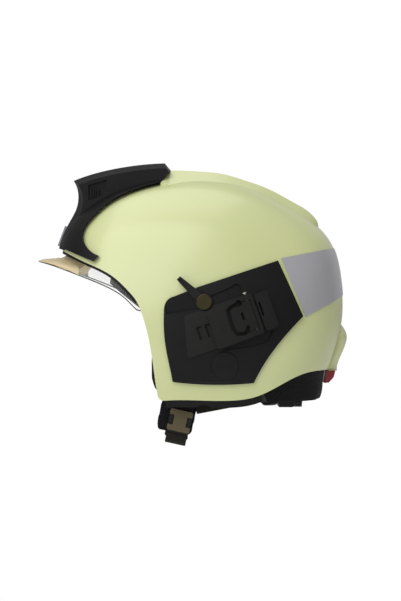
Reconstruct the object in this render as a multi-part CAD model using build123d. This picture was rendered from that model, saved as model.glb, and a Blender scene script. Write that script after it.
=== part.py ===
from build123d import *

import math
import os
from functools import cache

# A jet style fire helmet at real size, in millimetres, as separate pieces that go together as the real ones do.
# The origin is the middle of the visor's pivot axis. +Z is up, the wearer faces -X, the wearer's left is -Y.

# Shell: a dome whose side view and half width follow these sizes
front_reach = 150.0
rear_reach = 142.0
dome_height = 126.5
rim_drop = 97.0
half_width = 116.0
pole_margin = 18.0
shell_wall = 3.5
dome_power = 2.6
tuck_share = 0.09
dome_sections = 20
arch_steps = 9
pole_stop_deg = 88.4

# Comb moulded along the crown
comb_core_half = 23.0
comb_flank_width = 20.0
comb_flank_share = 0.88

# Clearances, seats and one overrun for all cuts
seat_gap = 0.1
soft_gap = 0.3
moving_gap = 0.4
shaft_gap = 0.06
overrun = 30.0

# Front crest housing and its badge plate
crest_core_half = 20.0
crest_flank_width = 18.0
crest_flank_share = 0.955
crest_flange_rise = 4.2
crest_end_gap = 0.3
window_depth = 3.0
window_rib_width = 1.2
window_rib_count = 4
badge_half_width = 17.0
badge_thickness = 1.6
badge_frame = 3.0
badge_seat = 1.5

# Brim seal
seal_depth = 1.8
seal_wall = 1.6

# Visor, its grip strip, pivot and levers
visor_reach = 175.8
visor_half_width = 99.0
visor_wall = 2.4
visor_power = 2.1
visor_sections = 28
visor_hub_radius = 14.0
bay_gap = 3.2
grip_thickness = 1.0
grip_width = 9.0
grip_half_length = 74.0
pivot_radius = 3.0
screw_radius = 7.7
screw_head = 2.2
screw_socket_radius = 2.6
screw_socket_depth = 1.4
lever_thickness = 2.2
lever_hub_radius = 8.6
lever_length = 34.0
lever_root_width = 10.0
lever_tip_width = 4.6
lever_angle_deg = 137.0

# Side covers
cover_length = 135.0
cover_height = 121.0
cover_thickness = 3.0
pocket_floor = 1.0
pocket_radius = 38.5
pocket_slope = 10.0
slot_length = 33.5
slot_width = 7.0
slot_angle_deg = 22.8
slot_depth = 1.6
slot_end_radius = 4.6
recess_depth = 1.4

# Caps on the covers
cap_radius = 13.4
cap_rise = 0.9
cap_slot_width = 2.4
cap_slot_depth = 0.6

# Mask adapters
adapter_length = 94.0
adapter_height = 40.0
adapter_tilt_deg = 19.3
adapter_x = -16.3
adapter_z = -54.5
adapter_corner = 3.0
adapter_base_rise = 2.2
adapter_block_rise = 8.0
adapter_end_rise = 6.4
groove_width = 3.6
groove_end_radius = 3.2
tongue_thickness = 4.0
tongue_recess = 0.8
tongue_travel_gap = 2.2
pin_radius = 1.1
pin_head = 1.2

# Reflective band
band_thickness = 0.6

# Rear cover and lens
bump_half_width = 34.0
bump_flank_share = 0.96
lens_half_width = 23.0

# Rim band and nape skirt
rim_band_height = 7.0
rim_band_wall = 5.2
rim_band_inset = 0.5
skirt_wall = 4.0
skirt_inset = 3.8

# Head space, liner and pads
head_front = 100.0
head_rear = 110.0
head_top = 102.0
head_half_width = 80.0
head_power = 2.4
head_sections = 16
crown_strap_width = 22.0
crown_strap_wall = 1.2
crown_pad_radius = 34.0
crown_pad_thickness = 7.0
headband_wall = 1.6
headband_inset = 1.8
liner_lift = 14.0
bay_start_deg = 96.0
brow_pad_thickness = 4.0
brow_pad_half_width = 62.0
ear_pad_length = 78.0
ear_pad_height = 66.0
ear_pad_corner = 18.0
ear_pad_thickness = 11.0
ear_pad_x = -13.0
ear_pad_z = -61.0

# Ratchet at the nape
ratchet_width = 46.0
ratchet_height = 22.0
ratchet_depth = 8.0
ratchet_z = -96.0
ratchet_corner = 3.0
knob_radius = 12.0
knob_length = 8.0
knob_teeth = 18
knob_tooth_depth = 1.0
knob_shaft_radius = 3.5

# Chin strap and buckle
strap_width = 21.0
strap_wall = 1.6
strap_side = 83.0
strap_front_length = 20.0
chin_depth = 11.5
chin_bend_radius = 9.0
chin_pad_width = 25.0
chin_pad_length = 62.0
chin_pad_thickness = 5.0
buckle_width = 22.6
buckle_height = 21.0
buckle_depth = 8.0
buckle_wall = 2.0
buckle_x = -23.7
buckle_z = -116.4
buckle_tilt_deg = 12.6
prong_width = 4.4
prong_height = 9.0
prong_travel = 2.0
tab_lip = 2.0
buckle_pad_width = 36.0
buckle_pad_height = 43.0
buckle_pad_thickness = 5.0
buckle_pad_offset = 4.0
buckle_pad_rise = 8.0
slider_bar = 3.0
slider_thickness = 3.0
anchor_width = 10.0
anchor_height = 3.0

pole_depth = rim_drop + pole_margin
left = (0, -1, 0)
right = (0, 1, 0)

# Side-view tables, in shares of the front or rear reach, and of the dome height or the rim drop
dome_shares = (
    (-0.84, -1.14),
    (-0.93, -0.53),
    (-0.965, 0.04),
    (-0.966, 0.41),
    (-0.915, 0.56),
    (-0.82, 0.71),
    (-0.64, 0.855),
    (-0.35, 0.965),
    (0.0, 1.0),
    (0.32, 0.935),
    (0.57, 0.805),
    (0.735, 0.69),
    (0.84, 0.588),
    (0.912, 0.485),
    (0.958, 0.335),
    (1.0, 0.01),
    (0.975, -0.31),
    (0.9, -0.72),
    (0.8, -1.14),
)
comb_root_share = (0.76, 0.5)
comb_shares = (
    (-0.33, 1.058),
    (-0.14, 1.055),
    (0.0, 1.046),
    (0.129, 1.0295),
    (0.257, 0.9896),
    (0.3876, 0.9412),
    (0.517, 0.877),
    (0.646, 0.7966),
    (0.732, 0.7404),
    (0.774, 0.6998),
    (0.8115, 0.6436),
    (0.8185, 0.6037),
)
brim_shares = ((-1.12, 0.49), (-0.987, 0.427), (-0.777, 0.307), (-0.6, 0.202), (-0.497, 0.093), (-0.43, -0.009))
cheek_shares = ((-0.403, -0.109), (-0.352, -0.402), (-0.327, -0.658), (-0.301, -0.93))
corner_shares = ((-0.301, -0.93), (-0.285, -0.972), (-0.25, -0.984))
hem_shares = (
    (-0.25, -0.984),
    (0.175, -0.984),
    (0.35, -0.948),
    (0.526, -0.829),
    (0.716, -0.712),
    (0.849, -0.698),
    (1.12, -0.69),
)
crest_side_shares = (
    (-0.984, 0.43),
    (-0.962, 0.522),
    (-0.911, 0.647),
    (-0.867, 0.748),
    (-0.853, 0.832),
    (-0.885, 0.975),
)
crest_top_shares = ((-0.885, 0.975), (-0.776, 1.022), (-0.572, 1.079), (-0.368, 1.11), (-0.266, 1.116))
crest_rear_shares = ((-0.266, 1.116), (-0.224, 1.055), (-0.3, 0.94), (-0.3, 0.5))
crest_flange_shares = (
    (-0.723, 0.314),
    (-0.689, 0.36),
    (-0.773, 0.43),
    (-0.8, 0.4985),
    (-0.8, 0.557),
    (-0.748, 0.658),
    (-0.623, 0.796),
    (-0.474, 0.8885),
    (-0.295, 0.952),
)
crest_window_shares = ((-0.776, 0.808), (-0.778, 0.931), (-0.652, 0.975), (-0.685, 0.848))
badge_side_shares = ((-0.986, 0.45), (-0.935, 0.61))
band_shares = ((0.527, 0.338), (0.935, 0.432), (1.12, 0.442), (1.12, 0.057), (0.9965, 0.057), (0.695, -0.149))
bump_shares = (
    (0.96, -0.2),
    (0.992, -0.255),
    (1.022, -0.355),
    (1.02, -0.398),
    (0.952, -0.72),
)
bump_root_shares = ((0.952, -0.72), (0.8, -0.72), (0.8, -0.2), (0.96, -0.2))
lens_shares = ((0.94, -0.722), (0.928, -0.79), (0.893, -0.845), (0.862, -0.85), (0.876, -0.722))
rim_end_share = 0.394
strap_rear_shares = ((-0.06, -1.028), (0.387, -0.904))
anchor_front_share = (-0.113, -0.943)
anchor_rear_share = (0.335, -0.885)
skirt_shares = (
    (0.4, -0.86),
    (0.526, -0.769),
    (0.716, -0.652),
    (0.849, -0.64),
    (1.1, -0.63),
    (1.1, -1.02),
    (0.43, -1.02),
)

# The visor in shares of its reach, against the angle from +X over +Z
visor_shares = (
    (88, 0.69),
    (96, 0.691),
    (105, 0.708),
    (115, 0.731),
    (125, 0.762),
    (135, 0.782),
    (145, 0.804),
    (150, 0.8125),
    (155, 0.8215),
    (159, 0.832),
    (162, 0.858),
    (164.5, 0.927),
    (166.5, 1.0),
    (175, 1.0),
    (185, 0.98),
    (200, 0.96),
    (215, 0.95),
)
visor_edge_shares = (
    (-1.2, 0.25),
    (-0.973, 0.239),
    (-0.705, 0.151),
    (-0.512, 0.071),
    (-0.424, 0.011),
    (-0.381, -0.043),
    (-0.34, -0.068),
)

visor_rear_shares = ((-0.06, 0.3), (-0.188, 0.7), (-0.256, 0.955))

# The side cover in shares of its own length and height, about the pivot
cover_shares = (
    (-0.052, 0.117),
    (-0.215, 0.045),
    (-0.273, 0.0),
    (-0.289, -0.098),
    (-0.28, -0.321),
    (-0.226, -0.636),
    (0.113, -0.66),
    (0.355, -0.646),
    (0.44, -0.474),
    (0.55, -0.309),
    (0.713, -0.114),
    (0.532, 0.335),
)
cap_share = (0.145, -0.508)
recess_shares = ((0.12, -0.36), (0.5, -0.22), (0.455, -0.318), (0.33, -0.358), (0.15, -0.385))

# The mask adapter in shares of its own length and height
plate_shares = ((0.0, 0.0), (0.36, 0.0), (0.36, 1.0), (0.115, 1.0))
block_shares = ((0.325, -0.04), (0.838, -0.02), (0.838, 1.0), (0.345, 1.0))
end_shares = ((0.857, 0.0), (1.0, 0.0), (1.0, 0.93), (0.857, 0.93))
tie_shares = ((0.8, 0.1), (0.9, 0.1), (0.9, 0.85), (0.8, 0.85))
hook_shares = ((0.0, 0.32), (0.026, 0.32), (0.026, 0.585), (0.056, 0.585), (0.056, 0.64), (0.0, 0.64))
hook_place_shares = (0.186, 0.276)
tongue_front_shares = ((0.681, 0.85), (0.6, 0.83), (0.554, 0.771), (0.541, 0.332), (0.568, 0.165), (0.634, 0.123))
groove_hook_shares = ((0.675, 0.15), (0.692, 0.233))
tongue_rear_shares = ((0.8, 0.123), (0.8, 0.85))
finger_shares = ((0.667, 0.43), (0.691, 0.43), (0.691, 0.615), (0.667, 0.615))
slit_shares = ((0.874, 0.37), (0.892, 0.37), (0.892, 0.71), (0.874, 0.71))
pin_low_share = (0.775, 0.04)
pin_high_share = (0.775, 1.02)

# The head space in shares of its own front, rear and top, and of the shell's pole depth
head_shares = (
    (-0.86, -1.0),
    (-0.98, -0.45),
    (-1.0, 0.0),
    (-0.93, 0.4),
    (-0.7, 0.72),
    (-0.36, 0.935),
    (0.0, 1.0),
    (0.38, 0.93),
    (0.72, 0.71),
    (0.93, 0.4),
    (1.0, 0.0),
    (0.95, -0.4),
    (0.81, -0.75),
    (0.65, -1.0),
)
headband_shares = ((-1.2, 0.64), (-1.2, 0.37), (0.55, -0.9), (1.2, -0.96), (1.2, -0.7), (0.5, -0.62))
over_band_shares = ((-1.2, 0.58), (0.5, -0.66), (1.2, -0.735), (1.2, 1.4), (-1.2, 1.4))
brow_pad_shares = ((-1.2, 0.6), (-1.2, 0.4), (-0.62, 0.12), (-0.62, 0.29))


def from_shares(shares, front, rear, top, bottom):
    """Points of the side view, from shares of the four reaches about the origin."""
    points = []
    for x, z in shares:
        reach = front if x < 0 else rear
        height = top if z > 0 else bottom
        points.append((x * reach, z * height))
    return points


def on_shell(shares):
    """Side-view points in shares of the shell's reaches."""
    return from_shares(shares, front_reach, rear_reach, dome_height, rim_drop)


def on_head(shares):
    """Side-view points in shares of the head space."""
    return from_shares(shares, head_front, head_rear, head_top, pole_depth)


def on_cover(shares):
    """Side-view points in shares of the side cover's length and height."""
    return [(x * cover_length, z * cover_height) for x, z in shares]


def shifted(points, x, z):
    """Side-view points moved together."""
    return [(px + x, pz + z) for px, pz in points]


def side_face(*runs):
    """A face of the side view from a closed chain of runs: two points are a straight run, more a smooth one."""
    edges = []
    for run in runs:
        points = [Vector(x, 0, z) for x, z in run]
        edges.append(Line(*points) if len(points) == 2 else Spline(*points))
    return make_face(edges)


def side_polygon(points):
    """A face of the side view with straight sides."""
    return make_face(Polyline(*[Vector(x, 0, z) for x, z in points], close=True))


def slab(face, half):
    """A face of the side view, extruded to both sides."""
    return extrude(face, amount=half, dir=left) + extrude(face, amount=half, dir=right)


def wing(face, width=half_width + overrun):
    """A face of the side view, extruded to the wearer's left."""
    return extrude(face, amount=width, dir=left)


def mirrored(shape):
    """The wearer's right-hand copy of a left-hand piece."""
    return mirror(shape, about=Plane.XZ)


def tuck(z):
    """How far the shell's sides draw in below the pivot axis."""
    return 1.0 - tuck_share * (min(z, 0.0) / rim_drop) ** 2


def arch_face(centre, top, half, power, sides):
    """A flat section under an arch that goes from pole to pole and passes over top."""
    spoke = top - centre
    points = []
    for k in range(-arch_steps, arch_steps + 1):
        turn = math.radians(pole_stop_deg) * k / arch_steps
        p = centre + spoke * math.cos(turn) ** (2 / power)
        y = half * math.copysign(abs(math.sin(turn)) ** (2 / power), turn)
        points.append(Vector(p.X, y * sides(p.Z), p.Z))
    return make_face([Spline(*points), Line(points[-1], points[0])])


def fan(centre, tops, halves, power, sides):
    """A dome lofted through arches that fan out from the axis between its poles."""
    return loft([arch_face(centre, top, half, power, sides) for top, half in zip(tops, halves)])


def set_in(profile, inset, count):
    """Evenly spaced points along a side-view profile that runs front to rear, set in from it."""
    tops = []
    for k in range(count):
        u = k / (count - 1)
        along = profile % u
        tops.append((profile @ u) - Vector(-along.Z, 0, along.X) * inset)
    return tops


def profile_of(points):
    """A smooth side-view profile."""
    return Spline(*[Vector(x, 0, z) for x, z in points])


@cache
def dome(inset):
    """The shell's dome, set in, or grown where the inset is negative."""
    tops = set_in(profile_of(on_shell(dome_shares)), inset, dome_sections)
    return fan(Vector(0, 0, -pole_depth), tops, [half_width - inset] * dome_sections, dome_power, tuck)


@cache
def head(inset):
    """The head space, set in from the liner."""
    tops = set_in(profile_of(on_head(head_shares)), inset, head_sections)
    return fan(Vector(0, 0, -pole_depth), tops, [head_half_width - inset] * head_sections, head_power, tuck)


@cache
def visor_fan(inset):
    """The space under the visor's surface, about the pivot axis."""
    rim = []
    for angle, share in reversed(visor_shares):
        turn = math.radians(angle)
        rim.append((visor_reach * share * math.cos(turn), visor_reach * share * math.sin(turn)))
    tops = set_in(profile_of(rim), inset, visor_sections)
    halves = [visor_half_width - inset] * visor_sections
    return fan(Vector(0, 0, 0), tops, halves, visor_power, lambda z: 1.0)


def left_layer(face, outer, inner):
    """A piece of a skin on the shell's left side, between two rises above the dome."""
    return (wing(face) & dome(-outer)) - dome(-inner)


def shell_outline():
    """The side-view face that trims the shell: the face opening in front and the hem below."""
    hem = on_shell(hem_shares)
    corner = on_shell(corner_shares)
    opening = on_shell(brim_shares + cheek_shares)
    ceiling = dome_height + overrun
    return side_face(
        opening,
        corner,
        hem,
        [hem[-1], (hem[-1][0], ceiling)],
        [(hem[-1][0], ceiling), (opening[0][0], ceiling)],
        [(opening[0][0], ceiling), opening[0]],
    )


def pivot_bore(radius):
    """A cutter along the visor's pivot axis through both sides."""
    return Cylinder(radius, 2 * (half_width + overrun), rotation=(90, 0, 0))


def ridge(face, core, width, share):
    """A raised form over the mid-plane: a core of even height with a sloping flank at each side."""
    near = face.moved(Location((0, -core, 0)))
    far = scale(face, by=share).moved(Location((0, -core - width, 0)))
    flank = loft([near, far], ruled=True)
    return slab(face, core) + flank + mirrored(flank)


def beyond_seam(reach, gap):
    """A cutter for all that lies on one side of the seam between crest and comb, out to a reach along X."""
    seam = shifted(on_shell(crest_rear_shares), gap, 0)
    ceiling = seam[0][1] + overrun
    corners = [(seam[0][0], ceiling)] + seam + [(reach, seam[-1][1]), (reach, ceiling)]
    return slab(side_polygon(corners), half_width)


def comb():
    """The ridge moulded along the crown, with a sloping flank at each side."""
    top = on_shell(comb_shares)
    root = on_shell((comb_root_share,))[0]
    floor = (top[0][0], root[1])
    face = side_face(top, [top[-1], root], [root, floor], [floor, top[0]])
    body = ridge(face, comb_core_half, comb_flank_width, comb_flank_share)
    return body - beyond_seam(-front_reach, crest_end_gap)


def outer_shell():
    """The moulded shell with its comb, open below and in front."""
    body = (dome(0.0) & slab(shell_outline(), half_width + overrun)) - dome(shell_wall)
    return (body + (comb() - dome(shell_wall / 2))) - pivot_bore(pivot_radius + shaft_gap)


def crest_body():
    """The crest's outer form, before it is seated on the dome."""
    side = on_shell(crest_side_shares)
    top = on_shell(crest_top_shares)
    rear = on_shell(crest_rear_shares)
    face = side_face(
        side,
        top,
        rear[:2],
        rear[1:3],
        rear[2:],
        [rear[-1], (side[0][0] + overrun, rear[-1][1])],
        [(side[0][0] + overrun, rear[-1][1]), side[0]],
    )
    flange = on_shell(crest_flange_shares)
    front = (-front_reach - overrun, flange[0][1] + overrun)
    ceiling = dome_height + overrun
    skin = side_face(
        [front, flange[0]],
        flange[:2],
        flange[1:],
        [flange[-1], (flange[-1][0], ceiling)],
        [(flange[-1][0], ceiling), (front[0], ceiling)],
        [(front[0], ceiling), front],
    )
    wrap = slab(skin, half_width) & dome(-crest_flange_rise)
    body = ridge(face, crest_core_half, crest_flank_width, crest_flank_share) + wrap
    return body - dome(-seat_gap) - beyond_seam(front_reach, 0)


def crest_windows():
    """Cutters for the recess in each flank of the crest, with its ribs left standing."""
    reach = crest_core_half + crest_flank_width
    window = on_shell(crest_window_shares)
    cutter = extrude(side_polygon(window), amount=2 * window_depth, dir=left).moved(Location((0, window_depth - reach, 0)))
    low, high = window[:2]
    pitch = 2 * window_rib_width
    for k in range(window_rib_count):
        x = low[0] + pitch * (k + 1)
        rib = Box(window_rib_width, window_depth, (high[1] - low[1]) / 2)
        cutter -= Pos(x, window_depth / 2 - reach, (low[1] + high[1]) / 2) * rib
    return cutter + mirrored(cutter)


def front_badge(crest):
    """The bare plate on the crest's sloping front, with a raised frame."""
    (x0, z0), (x1, z1) = on_shell(badge_side_shares)
    length = math.hypot(x1 - x0, z1 - z0)
    out_x = -(z1 - z0) / length
    out_z = (x1 - x0) / length
    inner = badge_seat
    outer = badge_thickness
    corners = [
        (x0 - out_x * inner, z0 - out_z * inner),
        (x1 - out_x * inner, z1 - out_z * inner),
        (x1 + out_x * outer, z1 + out_z * outer),
        (x0 + out_x * outer, z0 + out_z * outer),
    ]
    plate = slab(side_polygon(corners), badge_half_width) - crest
    rise = badge_thickness / 2
    up_x = (x1 - x0) / length * badge_frame
    up_z = (z1 - z0) / length * badge_frame
    recess = [
        (x0 + up_x + out_x * rise, z0 + up_z + out_z * rise),
        (x1 - up_x + out_x * rise, z1 - up_z + out_z * rise),
        (x1 - up_x + out_x * overrun, z1 - up_z + out_z * overrun),
        (x0 + up_x + out_x * overrun, z0 + up_z + out_z * overrun),
    ]
    return plate - slab(side_polygon(recess), badge_half_width - badge_frame)


def brim_seal():
    """The lip under the brim, a strip that carries on the shell's edge over the face, with no part at the cheeks."""
    edge = on_shell(brim_shares + cheek_shares)
    lip = shifted(edge, -seal_depth, -seal_depth)
    face = side_face(edge, [edge[-1], lip[-1]], lip[::-1], [lip[0], edge[0]])
    sill = on_shell(brim_shares)[-1][1]
    floor = edge[-1][1] - overrun
    cheeks = [(-front_reach, sill), (front_reach, sill), (front_reach, floor), (-front_reach, floor)]
    strip_body = (slab(face, half_width) & dome(0.0)) - dome(seal_wall)
    return strip_body - slab(side_polygon(cheeks), half_width)


def visor_edge():
    """The visor's lower edge in the side view."""
    return [(x * visor_reach, z * visor_reach) for x, z in visor_edge_shares]


def visor():
    """The clear visor, one curved sheet with a round hub at each side."""
    edge = visor_edge()
    rear = [(x * visor_reach, z * visor_reach) for x, z in visor_rear_shares]
    hub_low = (0.0, -visor_hub_radius / 2)
    hub_high = (0.0, visor_hub_radius / 2)
    front = (edge[0][0], rear[-1][1])
    face = side_face(
        edge,
        [edge[-1], hub_low],
        [hub_low, hub_high],
        [hub_high] + rear,
        [rear[-1], front],
        [front, edge[0]],
    )
    sheet = (slab(face, half_width) & visor_fan(0.0)) - visor_fan(visor_wall)
    for side in (-1, 1):
        centre = Pos(0, side * (visor_half_width - visor_wall / 2), 0)
        sheet += centre * Cylinder(visor_hub_radius, visor_wall, rotation=(90, 0, 0))
    inside = Cylinder(visor_hub_radius, 2 * (visor_half_width - visor_wall), rotation=(90, 0, 0))
    return sheet - inside - pivot_bore(pivot_radius + shaft_gap)


def visor_grip_strip():
    """The tinted strip bonded along the front of the visor's lower edge."""
    edge = visor_edge()[:3]
    top = shifted(edge, 0, grip_width)
    face = side_face(edge, [edge[-1], top[-1]], top[::-1], [top[0], edge[0]])
    return (slab(face, grip_half_length) & visor_fan(-grip_thickness - seat_gap)) - visor_fan(-seat_gap)


def side_y(x, z, rise):
    """How far out the left skin lies at a place of the side view, at a rise above the dome."""
    ray = Line(Vector(x, 0, z), Vector(x, -half_width - overrun, z))
    return -(ray & dome(-rise)).bounding_box().min.Y


def on_adapter(u, v):
    """A side-view point of the mask adapter from its own length and height shares."""
    turn = math.radians(adapter_tilt_deg)
    along = u * adapter_length
    up = v * adapter_height
    x = adapter_x + along * math.cos(turn) - up * math.sin(turn)
    z = adapter_z + along * math.sin(turn) + up * math.cos(turn)
    return (x, z)


def adapter_face(shares, radius=0.0):
    """A straight-sided face in the adapter's own frame, with its corners rounded if a radius is given."""
    face = side_polygon([on_adapter(u, v) for u, v in shares])
    return fillet(face.vertices(), radius) if radius else face


def strip(start, end, width):
    """A straight-sided face of the side view along a middle line."""
    length = math.hypot(end[0] - start[0], end[1] - start[1])
    across = (-(end[1] - start[1]) / length * width / 2, (end[0] - start[0]) / length * width / 2)
    return side_polygon([
        (start[0] + across[0], start[1] + across[1]),
        (end[0] + across[0], end[1] + across[1]),
        (end[0] - across[0], end[1] - across[1]),
        (start[0] - across[0], start[1] - across[1]),
    ])


def disc_face(x, z, radius):
    """A round face of the side view."""
    return Pos(x, 0, z) * make_face(Plane.XZ * CenterArc((0, 0), radius, 0, 360))


cover_top = seat_gap + cover_thickness
lever_seat = side_y(0, 0, seat_gap + pocket_floor) + moving_gap
lever_top = lever_seat + lever_thickness


def lever_face(root, tip, length, hub, turn):
    """The lever's outline about the pivot: a round hub with a tapered arm."""
    ux = math.cos(math.radians(turn))
    uz = math.sin(math.radians(turn))
    arm = [
        (-uz * root / 2, ux * root / 2),
        (ux * length - uz * tip / 2, uz * length + ux * tip / 2),
        (ux * length + uz * tip / 2, uz * length - ux * tip / 2),
        (uz * root / 2, -ux * root / 2),
    ]
    return side_polygon(arm) + disc_face(0, 0, hub)


def visor_lever():
    """The left lever, flat on the pocket's floor, with a finger rib at its tip."""
    face = lever_face(lever_root_width, lever_tip_width, lever_length, lever_hub_radius, lever_angle_deg)
    plate = extrude(face, amount=lever_thickness, dir=left).moved(Location((0, -lever_seat, 0)))
    ux = math.cos(math.radians(lever_angle_deg))
    uz = math.sin(math.radians(lever_angle_deg))
    reach = lever_length - lever_thickness / 2
    rib = Box(lever_thickness, lever_thickness, lever_tip_width)
    place = Location((ux * reach, -lever_top - lever_thickness / 2, uz * reach))
    plate += place * (Rot(0, 180 - lever_angle_deg, 0) * rib)
    return plate - pivot_bore(pivot_radius + shaft_gap)


def pivot_screw():
    """The left pivot screw: a round head with a socket, and a shaft down to the visor's hub."""
    inner_end = visor_half_width - visor_wall
    length = lever_top - inner_end
    shaft = Pos(0, -(inner_end + length / 2), 0) * Cylinder(pivot_radius, length, rotation=(90, 0, 0))
    middle = lever_top + screw_head / 2
    head_disc = Pos(0, -middle, 0) * Cylinder(screw_radius, screw_head, rotation=(90, 0, 0))
    rim = head_disc.edges().group_by(Axis.Y)[0]
    head_disc = fillet(rim, screw_head / 3)
    socket_face = Plane.XZ * RegularPolygon(screw_socket_radius, 6)
    socket = extrude(socket_face, amount=screw_socket_depth + overrun, dir=left)
    socket = socket.moved(Location((0, -(lever_top + screw_head - screw_socket_depth), 0)))
    return (shaft + head_disc) - socket


def side_cover():
    """The left side cover, with the lever's pocket, a slot, a finger recess, a slit and the cap's seat."""
    outline = on_cover(cover_shares)
    face = side_face(
        outline[:2],
        outline[1:6],
        outline[5:8],
        outline[7:11],
        [outline[10], outline[11]],
        [outline[11], outline[0]],
    )
    body = left_layer(face, cover_top, seat_gap)
    pocket = disc_face(0, 0, pocket_radius)
    sill = -lever_root_width / 2 - 2 * moving_gap
    sweep = [(0, sill), (0, 2 * overrun), (-2 * overrun, 2 * overrun), (-2 * overrun, sill - pocket_slope)]
    pocket = pocket & side_polygon(sweep)
    hub = disc_face(0, 0, lever_hub_radius + moving_gap)
    floor = lever_seat - moving_gap
    body -= extrude(pocket + hub, amount=overrun, dir=left).moved(Location((0, -floor, 0)))
    turn = math.radians(slot_angle_deg)
    end = (math.cos(turn) * slot_length, math.sin(turn) * slot_length)
    slot = strip((0, 0), end, slot_width) + disc_face(*end, slot_end_radius)
    body -= wing(slot) - dome(-cover_top + slot_depth)
    body -= wing(side_polygon(on_cover(recess_shares))) - dome(-cover_top + recess_depth)
    body -= wing(adapter_face(slit_shares))
    cx, cz = on_cover((cap_share,))[0]
    body -= wing(disc_face(cx, cz, cap_radius + seat_gap)) - dome(-seat_gap - pocket_floor)
    return body - pivot_bore(pivot_radius + shaft_gap)


def cover_cap():
    """The left round cap in its seat, with a shallow slot for a coin."""
    cx, cz = on_cover((cap_share,))[0]
    body = left_layer(disc_face(cx, cz, cap_radius), cover_top + cap_rise, 2 * seat_gap + pocket_floor)
    slot = Pos(cx, 0, cz) * Box(cap_radius, 2 * (half_width + overrun), cap_slot_width)
    return body - (slot - dome(-cover_top - cap_rise + cap_slot_depth))


adapter_seat = cover_top + seat_gap
adapter_top = adapter_seat + adapter_block_rise
tongue_top = adapter_top - tongue_recess
tongue_floor = tongue_top - tongue_thickness
pin_rise = (tongue_top + tongue_floor) / 2


def adapter_pin_ends():
    """The latch pin's two ends, under the adapter's surface."""
    ends = []
    for share in (pin_low_share, pin_high_share):
        x, z = on_adapter(*share)
        ends.append(Vector(x, -side_y(x, z, pin_rise), z))
    return ends


def report_axes():
    """Prints the places of the left latch's hinge and of the ratchet, which the joints need."""
    for end in adapter_pin_ends():
        print("latch pin end", round(end.X, 2), round(end.Y, 2), round(end.Z, 2))
    print("ratchet seat", round(ratchet_x(), 2), ratchet_z)


def rod(start, end, radius):
    """A round bar between two points."""
    axis = end - start
    plane = Plane(origin=(start + end) * 0.5, z_dir=axis.normalized())
    return plane * Cylinder(radius, axis.length)


def groove_face():
    """The groove round the latch tongue, a bent strip with round corners and a round end."""
    path = [on_adapter(u, v) for u, v in tongue_front_shares + groove_hook_shares]
    face = disc_face(*path[0], groove_end_radius)
    for start, end in zip(path, path[1:]):
        face += strip(start, end, groove_width) + disc_face(*end, groove_width / 2)
    return face


def mask_adapter():
    """The left mask adapter: a slotted plate, a raised block with the latch's pocket, and an end block."""
    base = adapter_seat + adapter_base_rise
    body = left_layer(adapter_face(plate_shares, adapter_corner), base, adapter_seat)
    body += left_layer(adapter_face(block_shares, adapter_corner), adapter_top, adapter_seat)
    body += left_layer(adapter_face(end_shares, adapter_corner), adapter_seat + adapter_end_rise, adapter_seat)
    body += left_layer(adapter_face(tie_shares), base, adapter_seat)
    for place in hook_place_shares:
        body -= wing(adapter_face([(place + u, v) for u, v in hook_shares]))
    pocket = offset(adapter_face(tongue_front_shares + tongue_rear_shares), amount=moving_gap) + groove_face()
    body -= wing(pocket) - dome(-tongue_floor + tongue_travel_gap)
    body -= wing(adapter_face(slit_shares))
    body -= wing(disc_face(0, 0, lever_hub_radius + moving_gap))
    low, high = adapter_pin_ends()
    return body - rod(low, high + (high - low).normalized() * 2 * pin_head, pin_radius + shaft_gap)


def adapter_latch():
    """The left latch tongue with its finger slot, bored for the pin."""
    face = adapter_face(tongue_front_shares + tongue_rear_shares) - groove_face()
    body = left_layer(face, tongue_top, tongue_floor) - wing(adapter_face(finger_shares))
    low, high = adapter_pin_ends()
    return body - rod(low, high, pin_radius + shaft_gap)


def adapter_pin():
    """The left latch's steel pin with its head above the block."""
    low, high = adapter_pin_ends()
    step = (high - low).normalized()
    return rod(low, high, pin_radius) + rod(high, high + step * pin_head, pin_radius * 2)


def reflective_band():
    """The reflective band, one piece round the back of the shell."""
    face = side_polygon(on_shell(band_shares))
    return (slab(face, half_width + overrun) & dome(-seat_gap - band_thickness)) - dome(-seat_gap)


def rear_cover():
    """The cover at the nape, raised over the shell."""
    bump = on_shell(bump_shares)
    root = on_shell(bump_root_shares)
    face = side_face(bump, root[:2], root[1:3], root[2:])
    width = bump_half_width / 3
    return ridge(face, bump_half_width - width, width, bump_flank_share) - dome(-seat_gap)


def rear_lens():
    """The lens under the rear cover."""
    return slab(side_polygon(on_shell(lens_shares)), lens_half_width)


def rim_band():
    """The left rim band under the shell's hem."""
    hem = on_shell(hem_shares)
    low = shifted(hem, 0, -rim_band_height)
    face = side_face(hem, [hem[-1], low[-1]], low[::-1], [low[0], hem[0]])
    end = rim_end_share * rear_reach
    face -= side_polygon([(end, 0), (end, -2 * rim_drop), (2 * rear_reach, -2 * rim_drop), (2 * rear_reach, 0)])
    return left_layer(face, -rim_band_inset, -rim_band_inset - rim_band_wall)


def nape_skirt():
    """The skirt that hangs behind the hem round the nape."""
    face = side_polygon(on_shell(skirt_shares))
    return (slab(face, half_width) & dome(skirt_inset)) - dome(skirt_inset + skirt_wall)


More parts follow.
